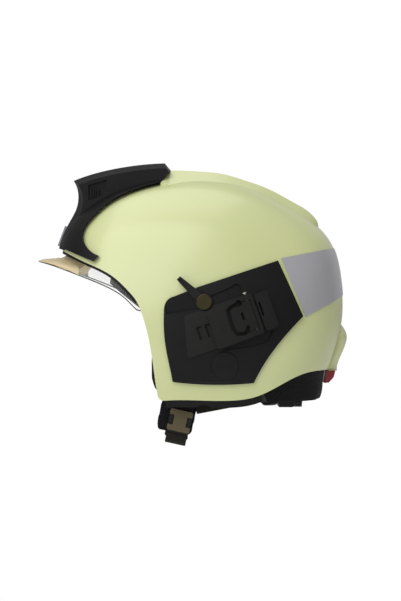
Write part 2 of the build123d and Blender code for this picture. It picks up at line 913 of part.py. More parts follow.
def impact_liner():
    """The foam liner between shell and head, cut back for the visor's bay."""
    body = dome(shell_wall + soft_gap) & slab(shell_outline(), half_width)
    hem = on_shell(hem_shares)
    low = hem[0][1] - overrun
    strip = [(-front_reach, hem[0][1])] + hem + [(hem[-1][0], low), (-front_reach, low)]
    body -= slab(side_polygon(shifted(strip, 0, liner_lift)), half_width + overrun)
    far = 2 * front_reach
    start = math.radians(bay_start_deg)
    bay = side_polygon([(0, 0), (far * math.cos(start), far * math.sin(start)), (-far, far), (-far, -far), (0, -far)])
    radius = visor_reach * visor_shares[0][1] - visor_wall - bay_gap
    half = visor_half_width - visor_wall - bay_gap
    arc = []
    for k in range(arch_steps + 1):
        turn = math.pi / 2 * k / arch_steps
        arc.append(Vector(radius * math.sin(turn) ** (2 / visor_power), -half * math.cos(turn) ** (2 / visor_power), 0))
    section = make_face([Spline(*arc), Line(arc[-1], Vector(0, 0, 0)), Line(Vector(0, 0, 0), arc[0])])
    core = revolve(section, axis=Axis.Y)
    core += mirrored(core)
    hub = Cylinder(visor_hub_radius + bay_gap, 2 * half_width, rotation=(90, 0, 0))
    return (body - (slab(bay, half_width) - core)) - (hub - core) - head(0.0)


def crown_straps():
    """The crossed straps over the crown, just under the liner."""
    space = slab(side_polygon(on_head(over_band_shares)), head_half_width)
    cross = Box(2 * (head_front + head_rear), crown_strap_width, 2 * (head_top + pole_depth))
    cross += Box(crown_strap_width, 2 * half_width, 2 * (head_top + pole_depth))
    return ((head(soft_gap) & space) & cross) - head(soft_gap + crown_strap_wall)


def crown_pad():
    """The soft pad under the crossing of the crown straps."""
    outer = 2 * soft_gap + crown_strap_wall
    puck = Pos(0, 0, head_top) * Cylinder(crown_pad_radius, head_top)
    return (head(outer) & puck) - head(outer + crown_pad_thickness)


def headband():
    """The headband, high at the brow and low at the nape."""
    face = side_polygon(on_head(headband_shares))
    return (slab(face, head_half_width) & head(headband_inset)) - head(headband_inset + headband_wall)


def brow_pad():
    """The soft pad inside the front of the headband."""
    outer = headband_inset + headband_wall + soft_gap
    face = side_polygon(on_head(brow_pad_shares))
    return (slab(face, brow_pad_half_width) & head(outer)) - head(outer + brow_pad_thickness)


def ear_pad():
    """The left ear and cheek pad inside the liner."""
    outer = headband_inset + headband_wall + soft_gap
    shape = Pos(ear_pad_x, 0, ear_pad_z) * (Plane.XZ * RectangleRounded(ear_pad_length, ear_pad_height, ear_pad_corner))
    return (wing(shape) & head(outer)) - head(outer + ear_pad_thickness)


def ratchet_x():
    """Where the headband's outer face lies at the ratchet."""
    ray = Line(Vector(0, 0, ratchet_z), Vector(head_rear + overrun, 0, ratchet_z))
    return (ray & head(headband_inset)).bounding_box().max.X


def ratchet_housing():
    """The ratchet's housing on the back of the headband."""
    front = ratchet_x()
    block = Pos(front + ratchet_depth / 2, 0, ratchet_z) * Box(2 * ratchet_depth, ratchet_width, ratchet_height)
    outer = block.faces().sort_by(Axis.X)[-1]
    block = fillet(outer.edges(), ratchet_corner)
    return block - head(headband_inset - seat_gap) - ratchet_bore(knob_shaft_radius + shaft_gap)


def ratchet_bore(radius):
    """A cutter along the ratchet's axis."""
    start = ratchet_x() + ratchet_depth / 3
    return Pos(start + overrun / 2, 0, ratchet_z) * Cylinder(radius, overrun, rotation=(0, 90, 0))


def ratchet_knob():
    """The knob that tightens the headband, with teeth round its grip."""
    start = ratchet_x() + 3 * ratchet_depth / 2 + moving_gap
    wheel = Cylinder(knob_radius, knob_length)
    notch = Cylinder(knob_tooth_depth, knob_length)
    for k in range(knob_teeth):
        turn = 2 * math.pi * k / knob_teeth
        wheel -= Pos(knob_radius * math.cos(turn), knob_radius * math.sin(turn), 0) * notch
    wheel = Pos(start + knob_length / 2, 0, ratchet_z) * (Rot(0, 90, 0) * wheel)
    inner = ratchet_x() + ratchet_depth / 3 + moving_gap
    shaft_length = start - inner
    shaft = Pos(inner + shaft_length / 2, 0, ratchet_z) * Cylinder(knob_shaft_radius, shaft_length, rotation=(0, 90, 0))
    return wheel + shaft


def buckle_frame(shape):
    """Places a shape that is drawn upright about the buckle's centre, tilted as the buckle hangs."""
    return Location((buckle_x, -strap_side, buckle_z), (0, buckle_tilt_deg, 0)) * shape


def buckle_body():
    """The buckle's outer body, hollow, open below, with a notch at each side."""
    body = Box(buckle_width, buckle_depth, buckle_height)
    body = fillet(body.edges().filter_by(Axis.Y), buckle_wall)
    inside = Box(buckle_width - 2 * buckle_wall, buckle_depth - 2 * buckle_wall, buckle_height)
    body -= Pos(0, 0, -buckle_wall) * inside
    notch = Box(2 * (prong_width + moving_gap), 2 * buckle_depth, prong_height + 2 * moving_gap)
    for side in (-1, 1):
        body -= Pos(side * buckle_width / 2, 0, 0) * notch
    return buckle_frame(body)


def prong(side):
    """One sprung prong of the buckle, showing in the body's notch."""
    x = side * (buckle_width / 2 - prong_width / 2)
    depth = buckle_depth - 2 * buckle_wall - 2 * moving_gap
    return buckle_frame(Pos(x, 0, 0) * Box(prong_width, depth, prong_height))


def buckle_tab():
    """The buckle's inner part, pushed up into the body, with a bar for the webbing below."""
    depth = buckle_depth - 2 * buckle_wall - 2 * moving_gap
    width = buckle_width - 2 * prong_width - 2 * prong_travel - 2 * moving_gap
    top = buckle_height / 2 - buckle_wall - moving_gap
    bottom = -buckle_height / 2 - tab_lip
    stem = Pos(0, 0, (top + bottom) / 2) * Box(width, depth, top - bottom)
    lip = Pos(0, 0, bottom + tab_lip / 2 - seat_gap) * Box(buckle_width - buckle_wall, depth, tab_lip)
    return buckle_frame(stem + lip)


def buckle_pad():
    """The soft pad between the buckle and the neck."""
    y = strap_side - buckle_depth / 2 - soft_gap - buckle_pad_thickness / 2
    pad = Box(buckle_pad_width, buckle_pad_thickness, buckle_pad_height)
    pad = fillet(pad.edges().filter_by(Axis.Y), buckle_pad_thickness)
    return buckle_frame(Pos(-buckle_pad_offset, strap_side - y, buckle_pad_rise) * pad)


def strap_between(start, end, y):
    """A flat strap in the side view, between two points of its middle line, at a place along Y."""
    return extrude(strip(start, end, strap_width), amount=strap_wall, dir=left).moved(Location((0, -y, 0)))


def chin_frame(shape):
    """Places a shape that is drawn from the top of the under-chin webbing, tilted as the buckle hangs."""
    turn = math.radians(buckle_tilt_deg)
    drop = buckle_height / 2 + tab_lip + seat_gap
    x = buckle_x - drop * math.sin(turn)
    z = buckle_z - drop * math.cos(turn)
    return Location((x, 0, z), (0, buckle_tilt_deg, 0)) * shape


def u_face(half, bottom, top, radius):
    """A face across the helmet, open to no side, with its two lower corners rounded."""
    corners = [(-half, top), (-half, bottom), (half, bottom), (half, top)]
    face = make_face(Polyline(*[Vector(0, y, z) for y, z in corners], close=True))
    return fillet(face.vertices().group_by(Axis.Z)[0], radius)


def chin_strap():
    """The webbing under the chin, from the buckle's tab round to the right-hand slider."""
    half = strap_side + strap_wall / 2
    outer = u_face(half, -chin_depth, 0.0, chin_bend_radius)
    inner = u_face(half - strap_wall, -chin_depth + strap_wall, overrun, chin_bend_radius - strap_wall)
    band = extrude(outer, amount=strap_width / 2, both=True) - extrude(inner, amount=strap_width, both=True)
    return chin_frame(band)


def chin_pad():
    """The soft pad on the under-chin webbing."""
    z = -chin_depth + strap_wall + soft_gap + chin_pad_thickness / 2
    pad = Box(chin_pad_width, chin_pad_length, chin_pad_thickness)
    pad = fillet(pad.edges().filter_by(Axis.Z), chin_pad_thickness)
    pad = fillet(pad.faces().sort_by(Axis.Z)[-1].edges(), chin_pad_thickness / 3)
    return chin_frame(Pos(0, 0, z) * pad)


def strap_slider():
    """The ladder-lock slider on the right, where the buckle is on the left."""
    height = buckle_height + tab_lip
    plate = Box(buckle_width, slider_thickness, height)
    plate = fillet(plate.edges().filter_by(Axis.Y), slider_bar)
    slot_height = (height - 4 * slider_bar) / 3
    for k in (-1, 0, 1):
        z = k * (slot_height + slider_bar)
        plate -= Pos(0, 0, z) * Box(buckle_width - 2 * slider_bar, 2 * slider_thickness, slot_height)
    place = Location((buckle_x, strap_side, buckle_z), (0, buckle_tilt_deg, 0))
    return place * (Pos(0, 0, -tab_lip / 2) * plate)


def buckle_top(rise):
    """A side-view point above the buckle, along its own upright."""
    turn = math.radians(buckle_tilt_deg)
    reach = buckle_height / 2 + rise
    return (buckle_x + reach * math.sin(turn), buckle_z + reach * math.cos(turn))


def strap_front():
    """The left front strap, from inside the rim down to the buckle."""
    return strap_between(buckle_top(strap_front_length), buckle_top(soft_gap), strap_side - strap_wall - seat_gap)


def strap_rear():
    """The left rear strap, from the buckle back to the nape."""
    start, end = on_shell(strap_rear_shares)
    return strap_between(start, end, strap_side + seat_gap)


def strap_anchor(x, z, inner):
    """A tab that ties a strap to the shell's inner wall."""
    tab = Pos(x, -(inner + overrun), z) * Box(anchor_width, 2 * overrun, anchor_height)
    return tab & dome(shell_wall + seat_gap)


def strap_anchors():
    """The four tabs, two at each side."""
    front = strap_anchor(*on_shell((anchor_front_share,))[0], strap_side + seat_gap)
    rear = strap_anchor(*on_shell((anchor_rear_share,))[0], strap_side + strap_wall + 2 * seat_gap)
    return Compound(children=[front, rear, mirrored(front), mirrored(rear)])


def both(shape):
    """A left-hand piece and its right-hand copy as one part."""
    return Compound(children=[shape, mirrored(shape)])


def pair(parts, name, shape):
    """Adds a left-hand piece and its right-hand copy."""
    parts[f"{name}_left"] = shape
    parts[f"{name}_right"] = mirrored(shape)


def helmet():
    """Every piece of the helmet by name."""
    crest = crest_body()
    parts = {
        "outer_shell": outer_shell(),
        "front_crest": crest - crest_windows(),
        "front_badge": front_badge(crest),
        "brim_seal": brim_seal(),
        "visor": visor(),
        "visor_grip_strip": visor_grip_strip(),
        "pivot_screws": both(pivot_screw()),
        "adapter_pins": both(adapter_pin()),
        "reflective_band": reflective_band(),
        "rear_cover": rear_cover(),
        "rear_lens": rear_lens(),
        "nape_skirt": nape_skirt(),
        "impact_liner": impact_liner(),
        "crown_straps": crown_straps(),
        "crown_pad": crown_pad(),
        "headband": headband(),
        "brow_pad": brow_pad(),
        "ratchet_housing": ratchet_housing(),
        "ratchet_knob": ratchet_knob(),
        "buckle_body": buckle_body(),
        "buckle_tab": buckle_tab(),
        "buckle_prong_front": prong(-1),
        "buckle_prong_rear": prong(1),
        "buckle_pad": buckle_pad(),
        "chin_strap": chin_strap(),
        "chin_pad": chin_pad(),
        "strap_slider": strap_slider(),
        "strap_anchors": strap_anchors(),
    }
    pair(parts, "visor_lever", visor_lever())
    pair(parts, "side_cover", side_cover())
    pair(parts, "cover_cap", cover_cap())
    pair(parts, "mask_adapter", mask_adapter())
    pair(parts, "adapter_latch", adapter_latch())
    pair(parts, "rim_band", rim_band())
    pair(parts, "ear_pad", ear_pad())
    pair(parts, "strap_front", strap_front())
    pair(parts, "strap_rear", strap_rear())
    return parts


os.makedirs("parts", exist_ok=True)
for name, shape in helmet().items():
    export_step(shape, f"parts/{name}.step")
report_axes()
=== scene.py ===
"""Looks of a jet style fire helmet: finishes for its moulded parts, modelled soft goods, webbing and stitching."""

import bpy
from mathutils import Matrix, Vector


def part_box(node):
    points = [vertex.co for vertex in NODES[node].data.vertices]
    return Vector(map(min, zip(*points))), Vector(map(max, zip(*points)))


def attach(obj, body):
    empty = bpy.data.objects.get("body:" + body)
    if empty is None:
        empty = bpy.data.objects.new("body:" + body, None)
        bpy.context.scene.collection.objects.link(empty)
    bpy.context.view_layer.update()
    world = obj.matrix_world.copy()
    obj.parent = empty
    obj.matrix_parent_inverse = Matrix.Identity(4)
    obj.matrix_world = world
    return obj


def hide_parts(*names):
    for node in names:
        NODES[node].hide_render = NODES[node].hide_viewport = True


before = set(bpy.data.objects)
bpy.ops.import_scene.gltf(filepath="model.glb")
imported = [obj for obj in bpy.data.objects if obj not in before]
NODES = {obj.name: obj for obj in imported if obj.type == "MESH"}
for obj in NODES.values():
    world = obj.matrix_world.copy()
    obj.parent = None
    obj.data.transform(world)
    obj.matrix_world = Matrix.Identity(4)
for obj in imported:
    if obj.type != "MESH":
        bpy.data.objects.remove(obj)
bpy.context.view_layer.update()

import logging
import math
from dataclasses import dataclass, field
from enum import Enum
from typing import ClassVar

import bmesh
import bpy
from bpy.types import ID, Material, Node, NodeSocket, NodeTree, Object
from mathutils import Matrix, Vector
from mathutils.bvhtree import BVHTree

log = logging.getLogger("helmet")

MM = 0.001
ROOT = "helmet"
WHITE = (1.0, 1.0, 1.0, 1.0)
Pair = tuple[float, float]


class Side(Enum):
    """The wearer's two sides, by the sign of Y."""

    LEFT = -1
    RIGHT = 1


def linear(code: str) -> tuple[float, float, float, float]:
    """Turns an sRGB hex colour into the linear red, green, blue and full alpha that a shader reads."""
    values = []
    for k in (0, 2, 4):
        share = int(code[k : k + 2], 16) / 255
        values.append(share / 12.92 if share <= 0.04045 else ((share + 0.055) / 1.055) ** 2.4)
    return (values[0], values[1], values[2], 1.0)


def add_node(tree: NodeTree, kind: str, values: dict | None = None, links: dict | None = None, **settings) -> Node:
    """Adds one node to a tree.

    Args:
        tree: The tree that gets the node.
        kind: The node's class name.
        values: Socket values by socket name or number.
        links: Sockets to link from, by the name or number of the input they go to.
        **settings: Properties of the node itself.

    Returns:
        The new node.
    """
    node = tree.nodes.new(kind)
    for name, value in settings.items():
        setattr(node, name, value)
    for name, value in (values or {}).items():
        node.inputs[name].default_value = value
    for name, socket in (links or {}).items():
        tree.links.new(socket, node.inputs[name])
    return node


def calculate(tree: NodeTree, operation: str, links: dict, values: dict | None = None) -> NodeSocket:
    """Adds one sum to a tree and returns its result."""
    return add_node(tree, "ShaderNodeMath", values, links, operation=operation).outputs[0]


def new_object(name: str, data: ID) -> Object:
    """Makes an object from its data and links it to the scene."""
    obj = bpy.data.objects.new(name, data)
    bpy.context.scene.collection.objects.link(obj)
    return obj


@dataclass(frozen=True)
class Finish:
    """A finish with its shader values; the kinds below add the pattern that each real surface has.

    A relief is a bump's strength and its full depth in mm. A tone is mixed in up to tone_most while the pattern
    crosses tone_span, and the roughness moves by the two gloss_shift values while it crosses gloss_span.
    """

    name: str
    colour: str
    roughness: float
    metallic: float = 0.0
    ior: float = 1.5
    coat: float = 0.0
    coat_roughness: float = 0.05
    sheen: float = 0.0
    alpha: float = 1.0
    specular: float = 0.5
    relief: Pair = (0.0, 0.0)
    tone_span: Pair = (0.0, 1.0)
    tone_most: float = 0.0
    gloss_span: Pair = (0.3, 0.7)
    gloss_shift: Pair = (0.0, 0.06)

    def material(self) -> Material:
        """Builds the material once and returns it."""
        known = bpy.data.materials.get(self.name)
        if known:
            return known
        material = bpy.data.materials.new(self.name)
        material.use_nodes = True
        tree = material.node_tree
        tree.nodes.clear()
        values = {"Base Color": linear(self.colour), "Roughness": self.roughness, "Metallic": self.metallic,
                  "IOR": self.ior, "Coat Weight": self.coat, "Coat Roughness": self.coat_roughness,
                  "Sheen Weight": self.sheen, "Alpha": self.alpha, "Specular IOR Level": self.specular}
        shader = add_node(tree, "ShaderNodeBsdfPrincipled", values)
        add_node(tree, "ShaderNodeOutputMaterial", links={"Surface": shader.outputs["BSDF"]})
        self.detail(tree, shader)
        return material

    def detail(self, tree: NodeTree, shader: Node) -> None:
        """Adds the surface's own pattern; a plain finish has none."""

    def place(self, tree: NodeTree) -> NodeSocket:
        """Adds the Object coordinates and returns them."""
        return add_node(tree, "ShaderNodeTexCoord").outputs["Object"]

    def noise(self, tree: NodeTree, grain_mm: float, detail: float) -> NodeSocket:
        """Adds a noise whose features are about grain_mm wide, and returns its height."""
        values = {"Scale": 1 / (grain_mm * MM), "Detail": detail}
        return add_node(tree, "ShaderNodeTexNoise", values, {"Vector": self.place(tree)}).outputs["Fac"]

    def cells(self, tree: NodeTree, cell_mm: float, randomness: float) -> NodeSocket:
        """Adds Voronoi cells about cell_mm wide and returns the distance to their middles."""
        values = {"Scale": 1 / (cell_mm * MM), "Randomness": randomness}
        return add_node(tree, "ShaderNodeTexVoronoi", values, {"Vector": self.place(tree)}).outputs["Distance"]

    def ramp(self, tree: NodeTree, factor: NodeSocket, low: Pair, high: Pair) -> NodeSocket:
        """Maps a factor from the range low to the range high."""
        values = {"From Min": low[0], "From Max": low[1], "To Min": high[0], "To Max": high[1]}
        return add_node(tree, "ShaderNodeMapRange", values, {"Value": factor}).outputs["Result"]

    def bump(self, tree: NodeTree, shader: Node, height: NodeSocket, socket: str = "Normal") -> None:
        """Links a height from 0 to 1 to one of the shader's normals, as deep as the finish's relief."""
        values = {"Strength": self.relief[0], "Distance": self.relief[1] * MM}
        node = add_node(tree, "ShaderNodeBump", values, {"Height": height})
        tree.links.new(node.outputs["Normal"], shader.inputs[socket])

    def vary(self, tree: NodeTree, shader: Node, factor: NodeSocket, other: str) -> None:
        """Mixes the shader's colour with another one by a factor."""
        base = shader.inputs["Base Color"]
        links = {0: factor}
        values = {7: linear(other)}
        if base.is_linked:
            links[6] = base.links[0].from_socket
        else:
            values[6] = linear(self.colour)
        mix = add_node(tree, "ShaderNodeMix", values, links, data_type="RGBA")
        tree.links.new(mix.outputs[2], base)

    def tone(self, tree: NodeTree, shader: Node, pattern: NodeSocket, other: str) -> None:
        """Mixes another colour in where the pattern is high."""
        self.vary(tree, shader, self.ramp(tree, pattern, self.tone_span, (0.0, self.tone_most)), other)

    def shift_gloss(self, tree: NodeTree, shader: Node, pattern: NodeSocket) -> None:
        """Lets the roughness follow the pattern."""
        reach = (self.roughness + self.gloss_shift[0], self.roughness + self.gloss_shift[1])
        tree.links.new(self.ramp(tree, pattern, self.gloss_span, reach), shader.inputs["Roughness"])


@dataclass(frozen=True)
class Lacquer(Finish):
    """Sprayed gloss lacquer: a clear coat over a pale pigment, with faint orange peel and slow shifts of tone.

    Under the side covers, in the rectangle from bay_low to bay_high of the side view, near-black is painted in as
    painted shade, where the shell shows through the shadowed gaps of the covers.
    """

    relief: Pair = (0.12, 0.05)
    tone_span: Pair = (0.2, 0.8)
    tone_most: float = 0.4
    gloss_span: Pair = (0.3, 0.8)
    gloss_shift: Pair = (-0.02, 0.03)
    shade: str = "CACF90"
    peel_mm: float = 2.2
    peel_detail: float = 1.0
    cloud_mm: float = 70.0
    # painted shade: the near-black that fills the shell where it shows through the shadowed gaps of the side covers
    painted_gap_shade: str = "0A0A0B"
    bay_low: Pair = (-0.028, -0.040)
    bay_high: Pair = (0.066, 0.003)

    def detail(self, tree: NodeTree, shader: Node) -> None:
        """Adds the peel to the coat, the slow clouds to pigment and gloss, and the painted shade under the covers.
        """
        self.bump(tree, shader, self.noise(tree, self.peel_mm, self.peel_detail), "Coat Normal")
        self.tone(tree, shader, self.noise(tree, self.cloud_mm, 0.0), self.shade)
        # painted shade: near-black mixed into the shell inside the rectangle under the side covers
        self.vary(tree, shader, self.bay(tree), self.painted_gap_shade)
        self.shift_gloss(tree, shader, self.noise(tree, self.cloud_mm / 2, 0.0))

    def bay(self, tree: NodeTree) -> NodeSocket:
        """Returns 1 inside the rectangle and 0 elsewhere."""
        parts = add_node(tree, "ShaderNodeSeparateXYZ", links={0: self.place(tree)})
        inside = {}
        for k, (axis, low, high) in enumerate(zip("XZ", self.bay_low, self.bay_high)):
            values = {1: (low + high) / 2, 2: (high - low) / 2}
            inside[k] = calculate(tree, "COMPARE", {0: parts.outputs[axis]}, values)
        return calculate(tree, "MULTIPLY", inside)


@dataclass(frozen=True)
class Moulding(Finish):
    """Injection moulded nylon: a fine spark-eroded grain that scatters light, rubbed paler here and there."""

    relief: Pair = (0.35, 0.05)
    tone_span: Pair = (0.5, 0.8)
    tone_most: float = 0.5
    gloss_span: Pair = (0.35, 0.75)
    gloss_shift: Pair = (0.06, -0.08)
    rubbed: str = "3B3A3E"
    grain_mm: float = 0.55
    grain_detail: float = 2.0
    rub_mm: float = 24.0
    rub_detail: float = 5.0

    def detail(self, tree: NodeTree, shader: Node) -> None:
        """Adds the grain, and the rubbed patches to colour and roughness."""
        self.bump(tree, shader, self.noise(tree, self.grain_mm, self.grain_detail))
        rub = self.noise(tree, self.rub_mm, self.rub_detail)
        self.tone(tree, shader, rub, self.rubbed)
        self.shift_gloss(tree, shader, rub)


@dataclass(frozen=True)
class Film(Finish):
    """Retroreflective film: clear vinyl over rows of tiny prisms, a grey sheet with a faint diamond lattice."""

    relief: Pair = (0.06, 0.03)
    tone_most: float = 0.3
    prism_mm: float = 1.3
    prisms_per_wave: float = 6.28
    lattice_deg: float = 45.0
    facet: str = "BEBEC3"

    def detail(self, tree: NodeTree, shader: Node) -> None:
        """Adds two crossed sets of lines, drawn coarser than the real prisms so that they show."""
        place = self.place(tree)
        waves = {}
        for k, turn in enumerate((self.lattice_deg, -self.lattice_deg)):
            mapped = add_node(tree, "ShaderNodeMapping", {"Rotation": (0, math.radians(turn), 0)}, {"Vector": place})
            values = {"Scale": 1 / (self.prism_mm * MM) / self.prisms_per_wave}
            wave = add_node(tree, "ShaderNodeTexWave", values, {"Vector": mapped.outputs["Vector"]},
                            bands_direction="X")
            waves[k] = wave.outputs["Fac"]
        crossed = calculate(tree, "MULTIPLY", waves)
        self.bump(tree, shader, crossed)
        self.tone(tree, shader, crossed, self.facet)


@dataclass(frozen=True)
class Webbing(Finish):
    """Woven polyester webbing: lengthwise ribs crossed by picks, dull with a little sheen."""

    relief: Pair = (0.8, 0.25)
    tone_span: Pair = (0.3, 1.0)
    tone_most: float = 0.6
    pick_mm: float = 1.3
    rib_mm: float = 1.95
    worn: str = "332F27"

    def detail(self, tree: NodeTree, shader: Node) -> None:
        """Reads the ribbon's own UV map, in which one unit is one millimetre."""
        place = add_node(tree, "ShaderNodeUVMap", uv_map="strap")
        parts = add_node(tree, "ShaderNodeSeparateXYZ", links={"Vector": place.outputs["UV"]})
        waves = {}
        for k, (axis, pitch) in enumerate((("X", self.rib_mm), ("Y", self.pick_mm))):
            turned = calculate(tree, "MULTIPLY", {0: parts.outputs[axis]}, {1: 2 * math.pi / pitch})
            waves[k] = calculate(tree, "SINE", {0: turned})
        height = self.ramp(tree, calculate(tree, "MULTIPLY", waves), (-1.0, 1.0), (0.0, 1.0))
        self.bump(tree, shader, height)
        self.tone(tree, shader, height, self.worn)


@dataclass(frozen=True)
class Knit(Finish):
    """Knitted spacer cloth over foam: small cells in staggered rows, soft and dull with a pale nap."""

    relief: Pair = (0.7, 0.3)
    tone_span: Pair = (0.5, 1.0)
    tone_most: float = 0.7
    cell_mm: float = 1.6
    cell_randomness: float = 0.35
    cell_span: Pair = (0.0, 0.6)
    nap: str = "1C1C1F"

    def detail(self, tree: NodeTree, shader: Node) -> None:
        """Adds the cells as a height, and the nap to the colour."""
        height = self.ramp(tree, self.cells(tree, self.cell_mm, self.cell_randomness), self.cell_span, (0.0, 1.0))
        self.bump(tree, shader, height)
        self.tone(tree, shader, height, self.nap)


@dataclass(frozen=True)
class Foam(Finish):
    """Moulded bead foam: fused beads of a few millimetres, matte and slightly mottled."""

    relief: Pair = (0.4, 0.25)
    tone_span: Pair = (0.2, 0.8)
    tone_most: float = 0.4
    bead_mm: float = 3.6
    bead: str = "242428"

    def detail(self, tree: NodeTree, shader: Node) -> None:
        """Adds the beads as a height and a mottle."""
        beads = self.cells(tree, self.bead_mm, 1.0)
        self.bump(tree, shader, beads)
        self.tone(tree, shader, beads, self.bead)


@dataclass(frozen=True)
class Polished(Finish):
    """A polished or plated surface: smooth, with hair-fine scratches in its roughness."""

    scratch_mm: float = 6.0
    scratch_detail: float = 6.0
    scratch_stretch: tuple[float, float, float] = (1.0, 9.0, 3.0)

    def detail(self, tree: NodeTree, shader: Node) -> None:
        """Adds the scratches as small shifts of roughness."""
        stretch = add_node(tree, "ShaderNodeMapping", {"Scale": self.scratch_stretch}, {"Vector": self.place(tree)})
        values = {"Scale": 1 / (self.scratch_mm * MM), "Detail": self.scratch_detail}
        lines = add_node(tree, "ShaderNodeTexNoise", values, {"Vector": stretch.outputs["Vector"]})
        self.shift_gloss(tree, shader, lines.outputs["Fac"])


@dataclass(frozen=True)
class ToneBand(Finish):
    """A clear moulded sheet whose front rim is tinted up to a slanted end at each side.

    Each of the band's two lines is a point of the side view and the normal that looks into the band.
    """

    tint: str = "EFDDB2"
    tint_alpha: float = 0.75
    end: tuple[Pair, Pair] = ((-0.1205, 0.035), (-0.712, 0.703))
    top: tuple[Pair, Pair] = ((-0.165, 0.068), (-0.335, -0.942))
    blur: float = 1.0 * MM

    def detail(self, tree: NodeTree, shader: Node) -> None:
        """Mixes in the tint where a point lies inside both of the band's lines."""
        place = self.place(tree)
        inside = {}
        for k, (start, normal) in enumerate((self.end, self.top)):
            values = {1: (normal[0], 0.0, normal[1])}
            depth = add_node(tree, "ShaderNodeVectorMath", values, {0: place}, operation="DOT_PRODUCT")
            base = start[0] * normal[0] + start[1] * normal[1]
            inside[k] = self.ramp(tree, depth.outputs["Value"], (base, base + self.blur), (0.0, 1.0))
        both = calculate(tree, "MULTIPLY", inside)
        self.vary(tree, shader, both, self.tint)
        tree.links.new(self.ramp(tree, both, (0.0, 1.0), (self.alpha, self.tint_alpha)), shader.inputs["Alpha"])


SHELL_LACQUER = Lacquer("photoluminescent_gloss_lacquer", "D4DAA1", 0.4, coat=0.6, coat_roughness=0.18)
BLACK_NYLON = Moulding("grained_black_nylon", "09080B", 0.5, rubbed="111013", specular=0.25)
DARK_NYLON = Moulding("grained_black_nylon_small_parts", "0C0B0A", 0.44, rubbed="151412", grain_mm=0.4,
                      specular=0.32)
OLIVE_NYLON = Moulding("grained_olive_nylon", "574C2E", 0.48, rubbed="665A3A")
BADGE_PLATE = Polished("smoked_polycarbonate_plate", "8E9098", 0.22, coat=0.4)
BLACK_RUBBER = Moulding("extruded_black_rubber", "040405", 0.62, rubbed="0C0C0D", grain_mm=0.9, specular=0.3)
CLEAR_SHEET = ToneBand("polished_clear_polycarbonate", "F4F5F0", 0.08, ior=1.49, alpha=0.07)
AMBER_STRIP = Polished("tinted_amber_polycarbonate", "EFDDB2", 0.3, ior=1.49, alpha=0.75)
# painted shade: an opaque dark grey for the clear visor's edge, which is clear itself and only looks dark by the
# light that it bends away
DARK_EDGE_SHADE = Polished("painted_shade_sheet_edge", "3A3B38", 0.25, ior=1.49)
BLACK_STEEL = Polished("blackened_steel", "46412F", 0.3, metallic=1.0)
PALE_STEEL = Polished("zinc_plated_steel", "C9C6BC", 0.26, metallic=1.0)
SILVER_FILM = Film("prismatic_reflective_film", "B2B2B7", 0.4, metallic=0.25, coat=0.3, coat_roughness=0.15)
RED_LENS = Polished("moulded_red_acrylic", "9C2024", 0.16, ior=1.49, coat=0.3)
BLACK_WEBBING = Webbing("woven_black_polyester_webbing", "1A1713", 0.85, sheen=0.05, specular=0.2)
BLACK_KNIT = Knit("black_spacer_knit", "0C0C0E", 0.9, sheen=0.03, specular=0.15)
BLACK_FOAM = Foam("black_bead_foam", "101012", 0.85, specular=0.25)
THREAD = Moulding("bonded_black_polyester_thread", "24221F", 0.6, rubbed="34312C", grain_mm=0.3)
BAND_NYLON = Moulding("smooth_black_nylon_band", "101012", 0.45, rubbed="19191B", relief=(0.35, 0.02), specular=0.35)


@dataclass(frozen=True)
class Lamp:
    """A square soft lamp that faces the helmet: its place and its side in metres, and its power in watts."""

    name: str
    place: tuple[float, float, float]
    size: float
    power: float

    def build(self) -> None:
        """Adds the lamp to the scene."""
        data = bpy.data.lights.new(self.name, "AREA")
        data.shape = "SQUARE"
        data.size = self.size
        data.energy = self.power
        lamp = new_object(self.name, data)
        lamp.location = self.place
        lamp.rotation_euler = (Vector(self.place) * -1).to_track_quat("-Z", "Y").to_euler()


LAMPS = (
    Lamp("key", (-1.15, -1.85, 1.75), 2.4, 46.0),
    Lamp("fill", (-0.8, -2.6, -0.2), 2.2, 7.0),
    Lamp("top", (-0.3, 0.1, 2.4), 2.0, 18.0),
    Lamp("back", (1.2, 1.8, 0.9), 1.8, 3.0),
)


